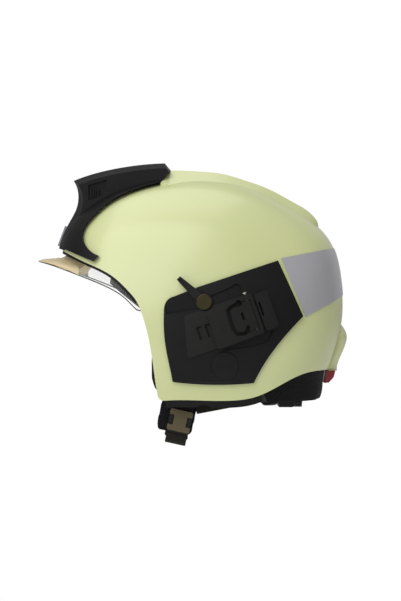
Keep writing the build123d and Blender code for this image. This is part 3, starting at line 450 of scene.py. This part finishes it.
@dataclass
class Studio:
    """The camera at the photo's side view, a pale floor, an even sky and soft lamps."""

    distance: float = 1.72
    lens: float = 100.0
    sensor: float = 36.0
    look_x: float = -0.0036
    look_z: float = 0.0015
    far: float = 50.0
    floor_z: float = -0.30
    floor_half: float = 9.0
    paper: str = "F4F4F2"
    sky: float = 0.3

    def place_camera(self) -> None:
        """Puts the camera on the wearer's left, level with the visor's pivot."""
        data = bpy.data.cameras.new("side_camera")
        data.lens = self.lens
        data.sensor_width = self.sensor
        data.sensor_height = self.sensor
        data.sensor_fit = "AUTO"
        data.clip_end = self.far
        camera = new_object("side_camera", data)
        camera.location = (self.look_x, -self.distance, self.look_z)
        camera.rotation_euler = (math.radians(90), 0, 0)
        bpy.context.scene.camera = camera

    def show_white(self, tree: NodeTree, lit: Node, glow: str, output: str) -> None:
        """Shows white to the camera and through clear parts, and what is lit to everything else.

        Args:
            tree: The tree of the floor or of the world, whose output this adds.
            lit: The shader that lights and takes shade.
            glow: The class name of the white shader.
            output: The class name of the output.
        """
        white = add_node(tree, glow, {"Color": WHITE, "Strength": 1.0})
        path = add_node(tree, "ShaderNodeLightPath")
        seen = calculate(tree, "MAXIMUM", {0: path.outputs["Is Camera Ray"], 1: path.outputs["Is Transmission Ray"]})
        mix = add_node(tree, "ShaderNodeMixShader", links={0: seen, 1: lit.outputs[0], 2: white.outputs[0]})
        add_node(tree, output, links={"Surface": mix.outputs[0]})

    def place_floor(self) -> None:
        """Lays the pale floor, which lights the helmet from below."""
        mesh = bpy.data.meshes.new("floor")
        half = self.floor_half
        corners = ((-half, -half), (half, -half), (half, half), (-half, half))
        mesh.from_pydata([(x, y, self.floor_z) for x, y in corners], [], [(0, 1, 2, 3)])
        floor = new_object("floor", mesh)
        material = bpy.data.materials.new("pale_paper")
        material.use_nodes = True
        tree = material.node_tree
        tree.nodes.clear()
        paper = add_node(tree, "ShaderNodeBsdfDiffuse", {"Color": linear(self.paper)})
        self.show_white(tree, paper, "ShaderNodeEmission", "ShaderNodeOutputMaterial")
        mesh.materials.append(material)

    def set_world(self) -> None:
        """Gives an even grey sky for light."""
        world = bpy.data.worlds.new("studio")
        world.use_nodes = True
        tree = world.node_tree
        tree.nodes.clear()
        sky = add_node(tree, "ShaderNodeBackground", {"Color": WHITE, "Strength": self.sky})
        self.show_white(tree, sky, "ShaderNodeBackground", "ShaderNodeOutputWorld")
        bpy.context.scene.world = world

    def build(self) -> None:
        """Sets the whole stage."""
        self.place_camera()
        self.place_floor()
        self.set_world()
        for lamp in LAMPS:
            lamp.build()
        bpy.context.scene.view_settings.view_transform = "Standard"


def plain_copy(name: str, merge: float = 1e-6) -> Object:
    """Copies a CAD node's mesh into a new object at the origin, with its doubled vertices merged."""
    node = NODES[name]
    mesh = bpy.data.meshes.new(f"{name}_form")
    work = bmesh.new()
    work.from_mesh(node.data)
    work.transform(node.matrix_world)
    bmesh.ops.remove_doubles(work, verts=work.verts, dist=merge)
    work.to_mesh(mesh)
    work.free()
    return new_object(f"{name}_form", mesh)


def settle(obj: Object) -> None:
    """Turns an object's modifiers into plain mesh and drops them."""
    graph = bpy.context.evaluated_depsgraph_get()
    mesh = bpy.data.meshes.new_from_object(obj.evaluated_get(graph))
    obj.modifiers.clear()
    obj.data = mesh


def remesh(obj: Object, voxel_mm: float) -> None:
    """Gives an object a remesh of even voxels."""
    voxels = obj.modifiers.new("voxels", "REMESH")
    voxels.mode = "VOXEL"
    voxels.voxel_size = voxel_mm * MM


def relax(obj: Object, passes: int, factor: float = 0.5) -> None:
    """Gives an object a smoothing of some passes."""
    smoother = obj.modifiers.new("relax", "SMOOTH")
    smoother.factor = factor
    smoother.iterations = passes


def finish_piece(obj: Object, finish: Finish) -> None:
    """Gives an object its material and smooth shading."""
    obj.data.materials.clear()
    obj.data.materials.append(finish.material())
    for face in obj.data.polygons:
        face.material_index = 0
        face.use_smooth = True


@dataclass(frozen=True)
class Cushion:
    """How a padded piece is made from its CAD solid: voxels, the stuffing's pressure, the cloth and its folds."""

    voxel_mm: float = 4.0
    pressure: float = 3.0
    frames: int = 20
    stiffness: float = 40.0
    most_move: float = 0.55
    passes: int = 3
    fill: float = 0.7
    wrinkle_mm: float = 0.3
    wrinkle_size_mm: float = 14.0

    def build(self, node: str) -> Object:
        """Blows a CAD node's solid up as a cloth under pressure and leaves a soft mesh."""
        obj = plain_copy(node)
        obj.name = f"{node}_cushion"
        remesh(obj, self.voxel_mm)
        settle(obj)
        self.inflate(obj, node)
        relax(obj, self.passes)
        rounder = obj.modifiers.new("rounder", "SUBSURF")
        rounder.levels = 1
        settle(obj)
        self.wrinkle(obj)
        return obj

    def inflate(self, obj: Object, node: str) -> None:
        """Runs the cloth on a node's remeshed copy, then holds each point near where it started."""
        start = [vertex.co.copy() for vertex in obj.data.vertices]
        cloth = obj.modifiers.new("stuffing", "CLOTH")
        cloth.settings.use_pressure = True
        cloth.settings.uniform_pressure_force = self.pressure
        cloth.settings.effector_weights.gravity = 0.0
        cloth.settings.tension_stiffness = self.stiffness
        cloth.settings.compression_stiffness = self.stiffness
        cloth.point_cache.frame_start = 1
        cloth.point_cache.frame_end = self.frames
        scene = bpy.context.scene
        for frame_number in range(1, self.frames + 1):
            scene.frame_set(frame_number)
        settle(obj)
        scene.frame_set(1)
        limit = self.voxel_mm * MM * self.most_move
        for vertex, place in zip(obj.data.vertices, start):
            step = vertex.co - place
            if step.length > limit:
                vertex.co = place + step * (limit / step.length)
        log.info("stuffed %s, %d points", node, len(start))

    def wrinkle(self, obj: Object) -> None:
        """Adds low folds along the cushion's normals."""
        texture = bpy.data.textures.new(f"{obj.name}_folds", "CLOUDS")
        texture.noise_scale = self.wrinkle_size_mm * MM
        fold = obj.modifiers.new("folds", "DISPLACE")
        fold.texture = texture
        fold.texture_coords = "LOCAL"
        fold.strength = self.wrinkle_mm * MM
        fold.mid_level = 0.5
        settle(obj)


def mirror_copy(obj: Object, name: str) -> Object:
    """Makes the wearer's right-hand copy of a left-hand piece, with its faces turned the right way out."""
    mesh = obj.data.copy()
    mesh.transform(Matrix.Scale(-1, 4, (0, 1, 0)))
    mesh.flip_normals()
    return new_object(name, mesh)


@dataclass(frozen=True)
class Ribbon:
    """A strap of webbing along a path, with a rounded selvedge and a map in millimetres for its weave."""

    width: float
    thickness: float
    step: float = 2.0 * MM
    edge: float = 0.6 * MM
    edge_share: float = 0.25
    bevel_share: float = 0.6
    columns: int = 10
    waviness: float = 0.15 * MM
    wave_pitch: float = 6.0 * MM

    def build(self, name: str, path: list[Vector], normals: list[Vector]) -> Object:
        """Sweeps the strap's rounded section along the path.

        Args:
            name: The piece's name.
            path: The middle line's points.
            normals: The strap's outward normal at each point.

        Returns:
            The strap as a closed mesh.
        """
        half = self.width / 2
        deep = self.thickness / 2
        flat = self.width - 2 * self.edge
        round_x = half - self.edge * self.edge_share
        round_z = deep * self.bevel_share
        top = [(-half + self.edge + flat * k / self.columns, deep) for k in range(self.columns + 1)]
        section = top + [(round_x, round_z), (half, 0.0), (round_x, -round_z)]
        section += [(x, -deep) for x, _ in reversed(top)]
        section += [(-round_x, -round_z), (-half, 0.0), (-round_x, round_z)]
        work = bmesh.new()
        layer = work.loops.layers.uv.new("strap")
        rings = []
        lengths = [0.0]
        for a, b in zip(path, path[1:]):
            lengths.append(lengths[-1] + (b - a).length)
        for k, (point, normal) in enumerate(zip(path, normals)):
            ahead = (path[min(k + 1, len(path) - 1)] - path[max(k - 1, 0)]).normalized()
            side = ahead.cross(normal).normalized()
            wave = self.waviness * math.sin(lengths[k] / self.wave_pitch)
            rings.append([work.verts.new(point + side * x + normal * (z + wave * (x / half))) for x, z in section])
        count = len(section)
        for k in range(len(rings) - 1):
            for j in range(count):
                i = (j + 1) % count
                face = work.faces.new((rings[k][j], rings[k][i], rings[k + 1][i], rings[k + 1][j]))
                across = (section[j][0], section[i][0], section[i][0], section[j][0])
                along = (lengths[k], lengths[k], lengths[k + 1], lengths[k + 1])
                for loop, u, v in zip(face.loops, along, across):
                    loop[layer].uv = (u / MM, v / MM)
        work.faces.new(rings[0][::-1])
        work.faces.new(rings[-1])
        bmesh.ops.recalc_face_normals(work, faces=work.faces)
        mesh = bpy.data.meshes.new(name)
        work.to_mesh(mesh)
        work.free()
        return new_object(name, mesh)

    def straight(self, name: str, start: Vector, end: Vector, normal: Vector) -> Object:
        """Builds a strap whose middle line runs from start to end, and which faces along its normal."""
        count = max(2, int((end - start).length / self.step))
        path = [start.lerp(end, k / count) for k in range(count + 1)]
        return self.build(name, path, [normal] * len(path))


class Copy(Enum):
    """The shapes that a row repeats."""

    STITCH = "stitch"
    BLOCK = "block"


def row_tree(kind: Copy) -> NodeTree:
    """Builds the tree that repeats one shape along a path, with its pitch, size, jitter, seed and material."""
    name = f"row_of_{kind.value}s"
    known = bpy.data.node_groups.get(name)
    if known:
        return known
    tree = bpy.data.node_groups.new(name, "GeometryNodeTree")
    sockets = (("Geometry", "NodeSocketGeometry"), ("Pitch", "NodeSocketFloat"), ("Size", "NodeSocketVector"),
               ("Jitter", "NodeSocketFloat"), ("Seed", "NodeSocketInt"), ("Material", "NodeSocketMaterial"))
    for label, socket in sockets:
        tree.interface.new_socket(name=label, in_out="INPUT", socket_type=socket)
    tree.interface.new_socket(name="Geometry", in_out="OUTPUT", socket_type="NodeSocketGeometry")
    given = add_node(tree, "NodeGroupInput").outputs
    line = add_node(tree, "GeometryNodeMeshToCurve", links={"Mesh": given["Geometry"]})
    spaced = add_node(tree, "GeometryNodeResampleCurve", links={"Curve": line.outputs["Curve"],
                                                                "Length": given["Pitch"]}, mode="LENGTH")
    if kind is Copy.STITCH:
        shape = add_node(tree, "GeometryNodeMeshIcoSphere", {"Radius": 0.5, "Subdivisions": 2}).outputs["Mesh"]
    else:
        shape = add_node(tree, "GeometryNodeMeshCube", {"Size": (1.0, 1.0, 1.0)}).outputs["Mesh"]
    tangent = add_node(tree, "GeometryNodeInputTangent")
    up = add_node(tree, "GeometryNodeInputNamedAttribute", {"Name": "up"}, data_type="FLOAT_VECTOR")
    along = add_node(tree, "FunctionNodeAlignRotationToVector", links={"Vector": tangent.outputs[0]}, axis="X")
    turned = add_node(tree, "FunctionNodeAlignRotationToVector",
                      links={"Rotation": along.outputs[0], "Vector": up.outputs["Attribute"]}, axis="Z",
                      pivot_axis="X")
    low = calculate(tree, "SUBTRACT", {1: given["Jitter"]}, {0: 1.0})
    high = calculate(tree, "ADD", {1: given["Jitter"]}, {0: 1.0})
    spread = add_node(tree, "FunctionNodeRandomValue", links={2: low, 3: high, "Seed": given["Seed"]},
                      data_type="FLOAT")
    size = add_node(tree, "ShaderNodeVectorMath", links={0: given["Size"], "Scale": spread.outputs[1]},
                    operation="SCALE")
    copies = add_node(tree, "GeometryNodeInstanceOnPoints",
                      links={"Points": spaced.outputs["Curve"], "Instance": shape, "Rotation": turned.outputs[0],
                             "Scale": size.outputs[0]})
    real = add_node(tree, "GeometryNodeRealizeInstances", links={"Geometry": copies.outputs["Instances"]})
    coated = add_node(tree, "GeometryNodeSetMaterial", links={"Geometry": real.outputs["Geometry"],
                                                              "Material": given["Material"]})
    add_node(tree, "NodeGroupOutput", links={"Geometry": coated.outputs["Geometry"]})
    return tree


@dataclass(frozen=True)
class Row:
    """A row of small equal shapes along a path, such as stitches or teeth."""

    kind: Copy
    pitch: float
    size: tuple[float, float, float]
    finish: Finish
    jitter: float = 0.06
    seed: int = 7

    def build(self, name: str, path: list[Vector], normals: list[Vector]) -> Object:
        """Repeats the shape along the path.

        Args:
            name: The row's name.
            path: The points it follows.
            normals: The outward normal at each point.

        Returns:
            The row as a plain mesh.
        """
        mesh = bpy.data.meshes.new(name)
        mesh.from_pydata(path, [(k, k + 1) for k in range(len(path) - 1)], [])
        up = mesh.attributes.new("up", "FLOAT_VECTOR", "POINT")
        up.data.foreach_set("vector", [value for normal in normals for value in normal])
        obj = new_object(name, mesh)
        tree = row_tree(self.kind)
        ids = {item.name: item.identifier for item in tree.interface.items_tree
               if item.item_type == "SOCKET" and item.in_out == "INPUT"}
        modifier = obj.modifiers.new("row", "NODES")
        modifier.node_group = tree
        given = {"Pitch": self.pitch, "Size": self.size, "Jitter": self.jitter, "Seed": self.seed,
                 "Material": self.finish.material()}
        for label, value in given.items():
            modifier[ids[label]] = value
        settle(obj)
        for face in obj.data.polygons:
            face.use_smooth = self.kind is not Copy.BLOCK
        log.info("row %s, %d faces", name, len(obj.data.polygons))
        return obj


def join(objects: list[Object], name: str) -> Object:
    """Puts several plain meshes, which are used up, into one object with the first one's materials."""
    work = bmesh.new()
    materials = list(objects[0].data.materials)
    for obj in objects:
        work.from_mesh(obj.data)
    mesh = bpy.data.meshes.new(name)
    work.to_mesh(mesh)
    work.free()
    for material in materials:
        mesh.materials.append(material)
    for obj in objects:
        bpy.data.objects.remove(obj)
    return new_object(name, mesh)


class Probe:
    """Finds points and normals on a CAD node's surface by rays."""

    def __init__(self, node: str) -> None:
        """Reads the CAD node's mesh."""
        obj = plain_copy(node)
        self.tree = BVHTree.FromObject(obj, bpy.context.evaluated_depsgraph_get())
        bpy.data.objects.remove(obj)

    def hit(self, start: Vector, aim: Vector) -> tuple[Vector, Vector] | None:
        """Casts a ray from start towards aim, and returns the place and the normal there, or None."""
        place, normal, _, _ = self.tree.ray_cast(start, (aim - start).normalized())
        return None if place is None else (place, normal)

    def run(self, rays: list[tuple[Vector, Vector]], lift: float) -> tuple[list[Vector], list[Vector]]:
        """Casts rays, each a start and an aim, and returns the hits, lifted along their normals, and the normals."""
        hits = [found for found in (self.hit(start, aim) for start, aim in rays) if found]
        return [place + normal * lift for place, normal in hits], [normal for _, normal in hits]


def keep(obj: Object, body: str = ROOT) -> None:
    """Lets a piece move with a CAD body."""
    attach(obj, body)


def stand_in(obj: Object, node: str, finish: Finish) -> None:
    """Finishes a piece and lets it take the place of a CAD node of the root body."""
    finish_piece(obj, finish)
    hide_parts(node)
    keep(obj)


class Assembly:
    """A sub-assembly: the finishes of the CAD nodes that keep their shape, and what the scene models itself."""

    looks: ClassVar[tuple[tuple[Finish, tuple[str, ...]], ...]] = ()

    def dress(self) -> None:
        """Gives the CAD nodes their finishes."""
        for finish, names in self.looks:
            for name in names:
                NODES[name].data.materials.clear()
                NODES[name].data.materials.append(finish.material())
                log.info("dressed %s in %s", name, finish.name)

    def build(self) -> None:
        """Builds the modelled pieces; some assemblies have none."""


class ShellAssembly(Assembly):
    """The lacquered shell with its crest, seal, bands and rear cover."""

    looks = (
        (SHELL_LACQUER, ("outer_shell", "rear_cover")),
        (BLACK_NYLON, ("front_crest",)),
        (BADGE_PLATE, ("front_badge",)),
        (BLACK_RUBBER, ("brim_seal", "rim_band_left", "rim_band_right")),
        (SILVER_FILM, ("reflective_band",)),
        (RED_LENS, ("rear_lens",)),
    )


@dataclass
class SideModule(Assembly):
    """Both side covers with their levers, mask adapters and caps."""

    looks = (
        (BLACK_NYLON, ("side_cover_left", "side_cover_right", "cover_cap_left", "cover_cap_right")),
        (DARK_NYLON, ("visor_lever_left", "mask_adapter_left", "adapter_latch_left",
                      "visor_lever_right", "mask_adapter_right", "adapter_latch_right")),
        (BLACK_STEEL, ("pivot_screws",)),
        (PALE_STEEL, ("adapter_pins",)),
    )
    bead: Ribbon = Ribbon(1.1 * MM, 0.7 * MM, edge=0.35 * MM, waviness=0.0)
    bead_z: float = -0.0775
    bead_from: float = -0.017
    bead_to: float = 0.046
    bead_points: int = 40
    # painted shade: a thin near-black ring on each cap's rim, standing for the shadowed gap around the cap
    shade_ring: Ribbon = Ribbon(1.1 * MM, 0.5 * MM, edge=0.3 * MM, waviness=0.0)
    shade_ring_points: int = 72
    outside: float = -0.2

    def build(self) -> None:
        """Adds the moulded bead along each cover's lower edge, and a near-black ring on each cap's rim as painted
        shade for the shadowed gap around the cap.
        """
        reach = self.bead_to - self.bead_from
        line = [(self.bead_from + reach * k / self.bead_points, self.bead_z) for k in range(self.bead_points + 1)]
        bead = self.lay(self.bead, "cover_bead_left", "side_cover_left", line, DARK_NYLON)
        low, high = (Vector(corner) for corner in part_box("cover_cap_left"))
        middle = (low + high) / 2
        radius = (high.x - low.x) / 2 - self.shade_ring.width / 2
        turns = [2 * math.pi * k / self.shade_ring_points for k in range(self.shade_ring_points + 1)]
        rim = [(middle.x + radius * math.cos(turn), middle.z + radius * math.sin(turn)) for turn in turns]
        # painted shade: this ring is dressed in black rubber so that it reads as the shadow in the gap around the
        # cap
        shade_ring = self.lay(self.shade_ring, "cap_ring_left", "cover_cap_left", rim, BLACK_RUBBER)
        for piece in (bead, shade_ring):
            keep(piece)
            keep(mirror_copy(piece, piece.name.replace("left", "right")))

    def lay(self, ribbon: Ribbon, name: str, node: str, places: list[Pair], finish: Finish) -> Object:
        """Lays a thin ribbon on a left-hand CAD node, along places of the side view."""
        rays = [(Vector((x, self.outside, z)), Vector((x, 0.0, z))) for x, z in places]
        piece = ribbon.build(name, *Probe(node).run(rays, 0.0))
        finish_piece(piece, finish)
        return piece


@dataclass
class VisorAssembly(Assembly):
    """The clear visor with its rounded edge, and its tinted strip."""

    looks = ((CLEAR_SHEET, ("visor",)), (AMBER_STRIP, ("visor_grip_strip",)))
    edge: Ribbon = Ribbon(2.0 * MM, 1.1 * MM, edge=0.4 * MM, waviness=0.0)
    bins: int = 60
    reach: float = math.radians(60)
    depth: float = 1.5 * MM
    passes: int = 3

    def build(self) -> None:
        """Adds the rounded lower edge, dressed in dark grey as painted shade for the thin dark line that the clear
        sheet shows where it ends.
        """
        groups: dict[int, list[Vector]] = {}
        for vertex in NODES["visor"].data.vertices:
            place = NODES["visor"].matrix_world @ vertex.co
            turn = math.atan2(place.y, -place.x)
            if abs(turn) < self.reach:
                groups.setdefault(round(turn / self.reach * self.bins / 2), []).append(place)
        path = []
        for _, places in sorted(groups.items()):
            low = min(place.z for place in places)
            path.append(max((place for place in places if place.z < low + self.depth),
                            key=lambda place: math.hypot(place.x, place.y)))
        for _ in range(self.passes):
            inner = [(a + b * 2 + c) / 4 for a, b, c in zip(path, path[1:], path[2:])]
            path = [path[0]] + inner + [path[-1]]
        edge = self.edge.build("visor_edge", path, [Vector((0, 0, -1))] * len(path))
        # painted shade: the edge strip is dark grey to draw the dark line at the clear sheet's end
        finish_piece(edge, DARK_EDGE_SHADE)
        keep(edge, "visor")


@dataclass
class Lining(Assembly):
    """Liner, headband, crown straps, pads, skirt and ratchet."""

    looks = (
        (BLACK_FOAM, ("impact_liner",)),
        (BAND_NYLON, ("headband",)),
        (DARK_NYLON, ("ratchet_housing", "ratchet_knob")),
    )
    strap: Ribbon = Ribbon(21.0 * MM, 1.1 * MM)
    strap_rays: int = 160
    strap_from: float = -60.0
    strap_sweep: float = 300.0
    strap_sink: float = 0.6 * MM
    strap_gap: float = 1.0 * MM
    long_dip: float = 0.5 * MM
    cross_dip: float = -1.0 * MM
    crossing: float = 16.0 * MM
    pad: Cushion = Cushion(pressure=4.0, fill=0.8, wrinkle_mm=0.5)
    brow: Cushion = Cushion(voxel_mm=3.0, fill=0.8)
    skirt_voxel_mm: float = 1.8
    skirt_passes: int = 6
    skirt_fold_mm: float = 0.7
    skirt_folds: int = 22
    skirt_stray: float = 1.7
    skirt_strays: int = 5
    skirt_hang: float = -0.066
    skirt_fill: float = 0.3
    teeth: Row = Row(Copy.BLOCK, 2.4 * MM, (1.2 * MM, 1.6 * MM, 2.2 * MM), BAND_NYLON, jitter=0.0)
    rack_from: float = 22.0
    rack_sweep: float = 20.0
    rack_points: int = 40
    rack_height: float = 3.2 * MM
    rack_lift: float = 0.4 * MM
    outside: float = 0.3

    def build(self) -> None:
        """Builds the soft inner pieces and the rack."""
        self.build_pads()
        self.build_crown()
        self.build_skirt()
        self.build_rack()

    def build_pads(self) -> None:
        """Stuffs the ear, brow and crown pads."""
        left = self.pad.build("ear_pad_left")
        pads = {"ear_pad_left": left, "ear_pad_right": mirror_copy(left, "ear_pad_right_cushion"),
                "brow_pad": self.brow.build("brow_pad"), "crown_pad": self.pad.build("crown_pad")}
        for node, piece in pads.items():
            stand_in(piece, node, BLACK_KNIT)

    def build_crown(self) -> None:
        """Builds the crossed crown straps as two ribbons that follow the head."""
        probe = Probe("crown_straps")
        ribbons = []
        for name, along, depth in (("long", Vector((1, 0, 0)), self.long_dip),
                                   ("cross", Vector((0, 1, 0)), self.cross_dip)):
            rays = []
            for k in range(self.strap_rays + 1):
                turn = math.radians(self.strap_from + self.strap_sweep * k / self.strap_rays)
                start = along * (math.cos(turn) * self.outside)
                start.z = math.sin(turn) * self.outside
                rays.append((start, Vector((0.0, 0.0, 0.0))))
            points, normals = probe.run(rays, -self.strap_sink)
            path = []
            up = []
            for point, normal in zip(points, normals):
                near = max(0.0, 1.0 - math.hypot(point.x, point.y) / self.crossing)
                if not path or (point - path[-1]).length > self.strap_gap:
                    path.append(point + normal * depth * near ** 0.5)
                    up.append(normal)
            ribbons.append(self.strap.build(f"crown_strap_{name}", path, up))
        straps = join(ribbons, "crown_strap_ribbons")
        stand_in(straps, "crown_straps", BLACK_WEBBING)

    def build_skirt(self) -> None:
        """Builds the nape skirt as cloth with upright folds that deepen towards its hem."""
        skirt = plain_copy("nape_skirt")
        skirt.name = "nape_skirt_cloth"
        remesh(skirt, self.skirt_voxel_mm)
        relax(skirt, self.skirt_passes)
        settle(skirt)
        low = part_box("nape_skirt")[0][2]
        for vertex in skirt.data.vertices:
            turn = math.atan2(vertex.co.y, vertex.co.x)
            hang = min(1.0, max(0.0, (self.skirt_hang - vertex.co.z) / (self.skirt_hang - low)))
            phase = turn * self.skirt_folds + self.skirt_stray * math.sin(turn * self.skirt_strays)
            fold = math.sin(phase) * self.skirt_fold_mm * MM * hang
            vertex.co += Vector((math.cos(turn), math.sin(turn), 0.0)) * fold
        stand_in(skirt, "nape_skirt", BLACK_KNIT)

    def build_rack(self) -> None:
        """Adds the toothed rack along the headband's lower edge at the nape."""
        probe = Probe("headband")
        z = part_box("headband")[0][2] + self.rack_height
        racks = []
        for side in Side:
            rays = []
            for k in range(self.rack_points + 1):
                turn = math.radians(self.rack_from + self.rack_sweep * k / self.rack_points) * side.value
                start = Vector((math.cos(turn) * self.outside, math.sin(turn) * self.outside, z))
                rays.append((start, Vector((0.0, 0.0, z))))
            points, normals = probe.run(rays, self.rack_lift)
            if len(points) > 1:
                racks.append(self.teeth.build(f"rack_{side.name.lower()}", points, normals))
        keep(join(racks, "headband_racks"))


@dataclass
class ChinHarness(Assembly):
    """Buckle, webbing, pads and slider under the chin."""

    looks = (
        (OLIVE_NYLON, ("buckle_body",)),
        (DARK_NYLON, ("buckle_tab", "buckle_prong_front", "buckle_prong_rear", "strap_slider", "strap_anchors")),
    )
    side: float = 83.0 * MM
    tilt: float = math.radians(12.6)
    buckle: Vector = field(default_factory=lambda: Vector((-23.7 * MM, 0.0, -116.4 * MM)))
    drop: float = 12.6 * MM
    depth: float = 11.5 * MM
    bend: float = 9.0 * MM
    bend_points: int = 8
    level_points: int = 60
    web: Ribbon = Ribbon(20.6 * MM, 1.5 * MM)
    end_width: float = 21.0 * MM
    end_slack: float = 0.4 * MM
    pad: Cushion = Cushion(voxel_mm=2.5, wrinkle_size_mm=9.0)
    stitches: Row = Row(Copy.STITCH, 2.6 * MM, (1.8 * MM, 0.45 * MM, 0.3 * MM), THREAD)
    seam_share: float = 0.36
    seam_inset: float = 2.0 * MM
    seam_lift: float = 0.1 * MM
    seam_points: int = 20

    def hung(self, x: float, y: float, z: float) -> Vector:
        """Places a point drawn upright from the buckle's centre, tilted as the buckle hangs."""
        return self.buckle + Vector((x * math.cos(self.tilt) + z * math.sin(self.tilt), y,
                                     z * math.cos(self.tilt) - x * math.sin(self.tilt)))

    def build(self) -> None:
        """Builds the webbing, its stitching and the pads."""
        self.build_chin_web()
        self.build_straps()
        for node in ("buckle_pad", "chin_pad"):
            pad = self.pad.build(node)
            stand_in(pad, node, BLACK_KNIT)

    def build_chin_web(self) -> None:
        """Builds the webbing under the chin, from the buckle round to the slider."""
        top = -self.drop
        low = top - self.depth + self.web.thickness / 2
        half = self.side
        corner = self.bend
        turns = [math.pi / 2 * k / self.bend_points for k in range(1, self.bend_points)]
        level = 2 * half - 2 * corner
        profile = [(-half, top), (-half, low + corner)]
        for turn in turns:
            profile.append((-half + corner * (1 - math.cos(turn)), low + corner * (1 - math.sin(turn))))
        for k in range(self.level_points + 1):
            profile.append((-half + corner + level * k / self.level_points, low))
        for turn in turns:
            profile.append((half - corner * (1 - math.sin(turn)), low + corner * (1 - math.cos(turn))))
        profile += [(half, low + corner), (half, top)]
        path = [self.hung(0.0, y, z) for y, z in profile]
        normals = []
        front = self.hung(1.0, 0.0, 0.0) - self.hung(0.0, 0.0, 0.0)
        for k in range(len(path)):
            ahead = (path[min(k + 1, len(path) - 1)] - path[max(k - 1, 0)]).normalized()
            normals.append(ahead.cross(front).normalized())
        web = self.web.build("chin_web", path, normals)
        stand_in(web, "chin_strap", BLACK_WEBBING)

    def build_straps(self) -> None:
        """Builds the four short straps, with stitching along their edges."""
        for side in Side:
            for kind in ("front", "rear"):
                node = f"strap_{kind}_{side.name.lower()}"
                out = Vector((0, side.value, 0))
                start, end = self.ends(node)
                strap = self.web.straight(f"{node}_web", start, end, out)
                stand_in(strap, node, BLACK_WEBBING)
                self.sew(node, start, end, out)

    def ends(self, node: str) -> tuple[Vector, Vector]:
        """Finds the two ends of a straight strap's middle line from its CAD corners."""
        low, high = (Vector(corner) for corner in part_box(node))
        middle = (low.y + high.y) / 2
        corners = sorted({(round(v.co.x, 5), round(v.co.z, 5)) for v in NODES[node].data.vertices})
        pairs = [(a, b) for a in corners for b in corners
                 if a < b and abs(math.dist(a, b) - self.end_width) < self.end_slack]
        mids = [((a[0] + b[0]) / 2, (a[1] + b[1]) / 2) for a, b in pairs]
        first, last = min(mids), max(mids)
        return Vector((first[0], middle, first[1])), Vector((last[0], middle, last[1]))

    def sew(self, node: str, start: Vector, end: Vector, out: Vector) -> None:
        """Sews two rows of stitches along the edges of a strap, on the side that it turns out."""
        ahead = (end - start).normalized()
        across = ahead.cross(out)
        rows = []
        for share in (-self.seam_share, self.seam_share):
            shift = across * self.web.width * share + out * (self.web.thickness / 2 + self.seam_lift)
            a = start + ahead * self.seam_inset + shift
            b = end - ahead * self.seam_inset + shift
            path = [a.lerp(b, k / self.seam_points) for k in range(self.seam_points + 1)]
            rows.append(self.stitches.build(f"{node}_seam_{len(rows)}", path, [out] * len(path)))
        keep(join(rows, f"{node}_seams"))


def main() -> None:
    """Builds every sub-assembly in order."""
    logging.basicConfig(level=logging.INFO, format="%(message)s")
    Studio().build()
    for assembly in (ShellAssembly(), SideModule(), VisorAssembly(), Lining(), ChinHarness()):
        assembly.dress()
        assembly.build()
        log.info("%s done", type(assembly).__name__)


if __name__ == "__main__":
    main()
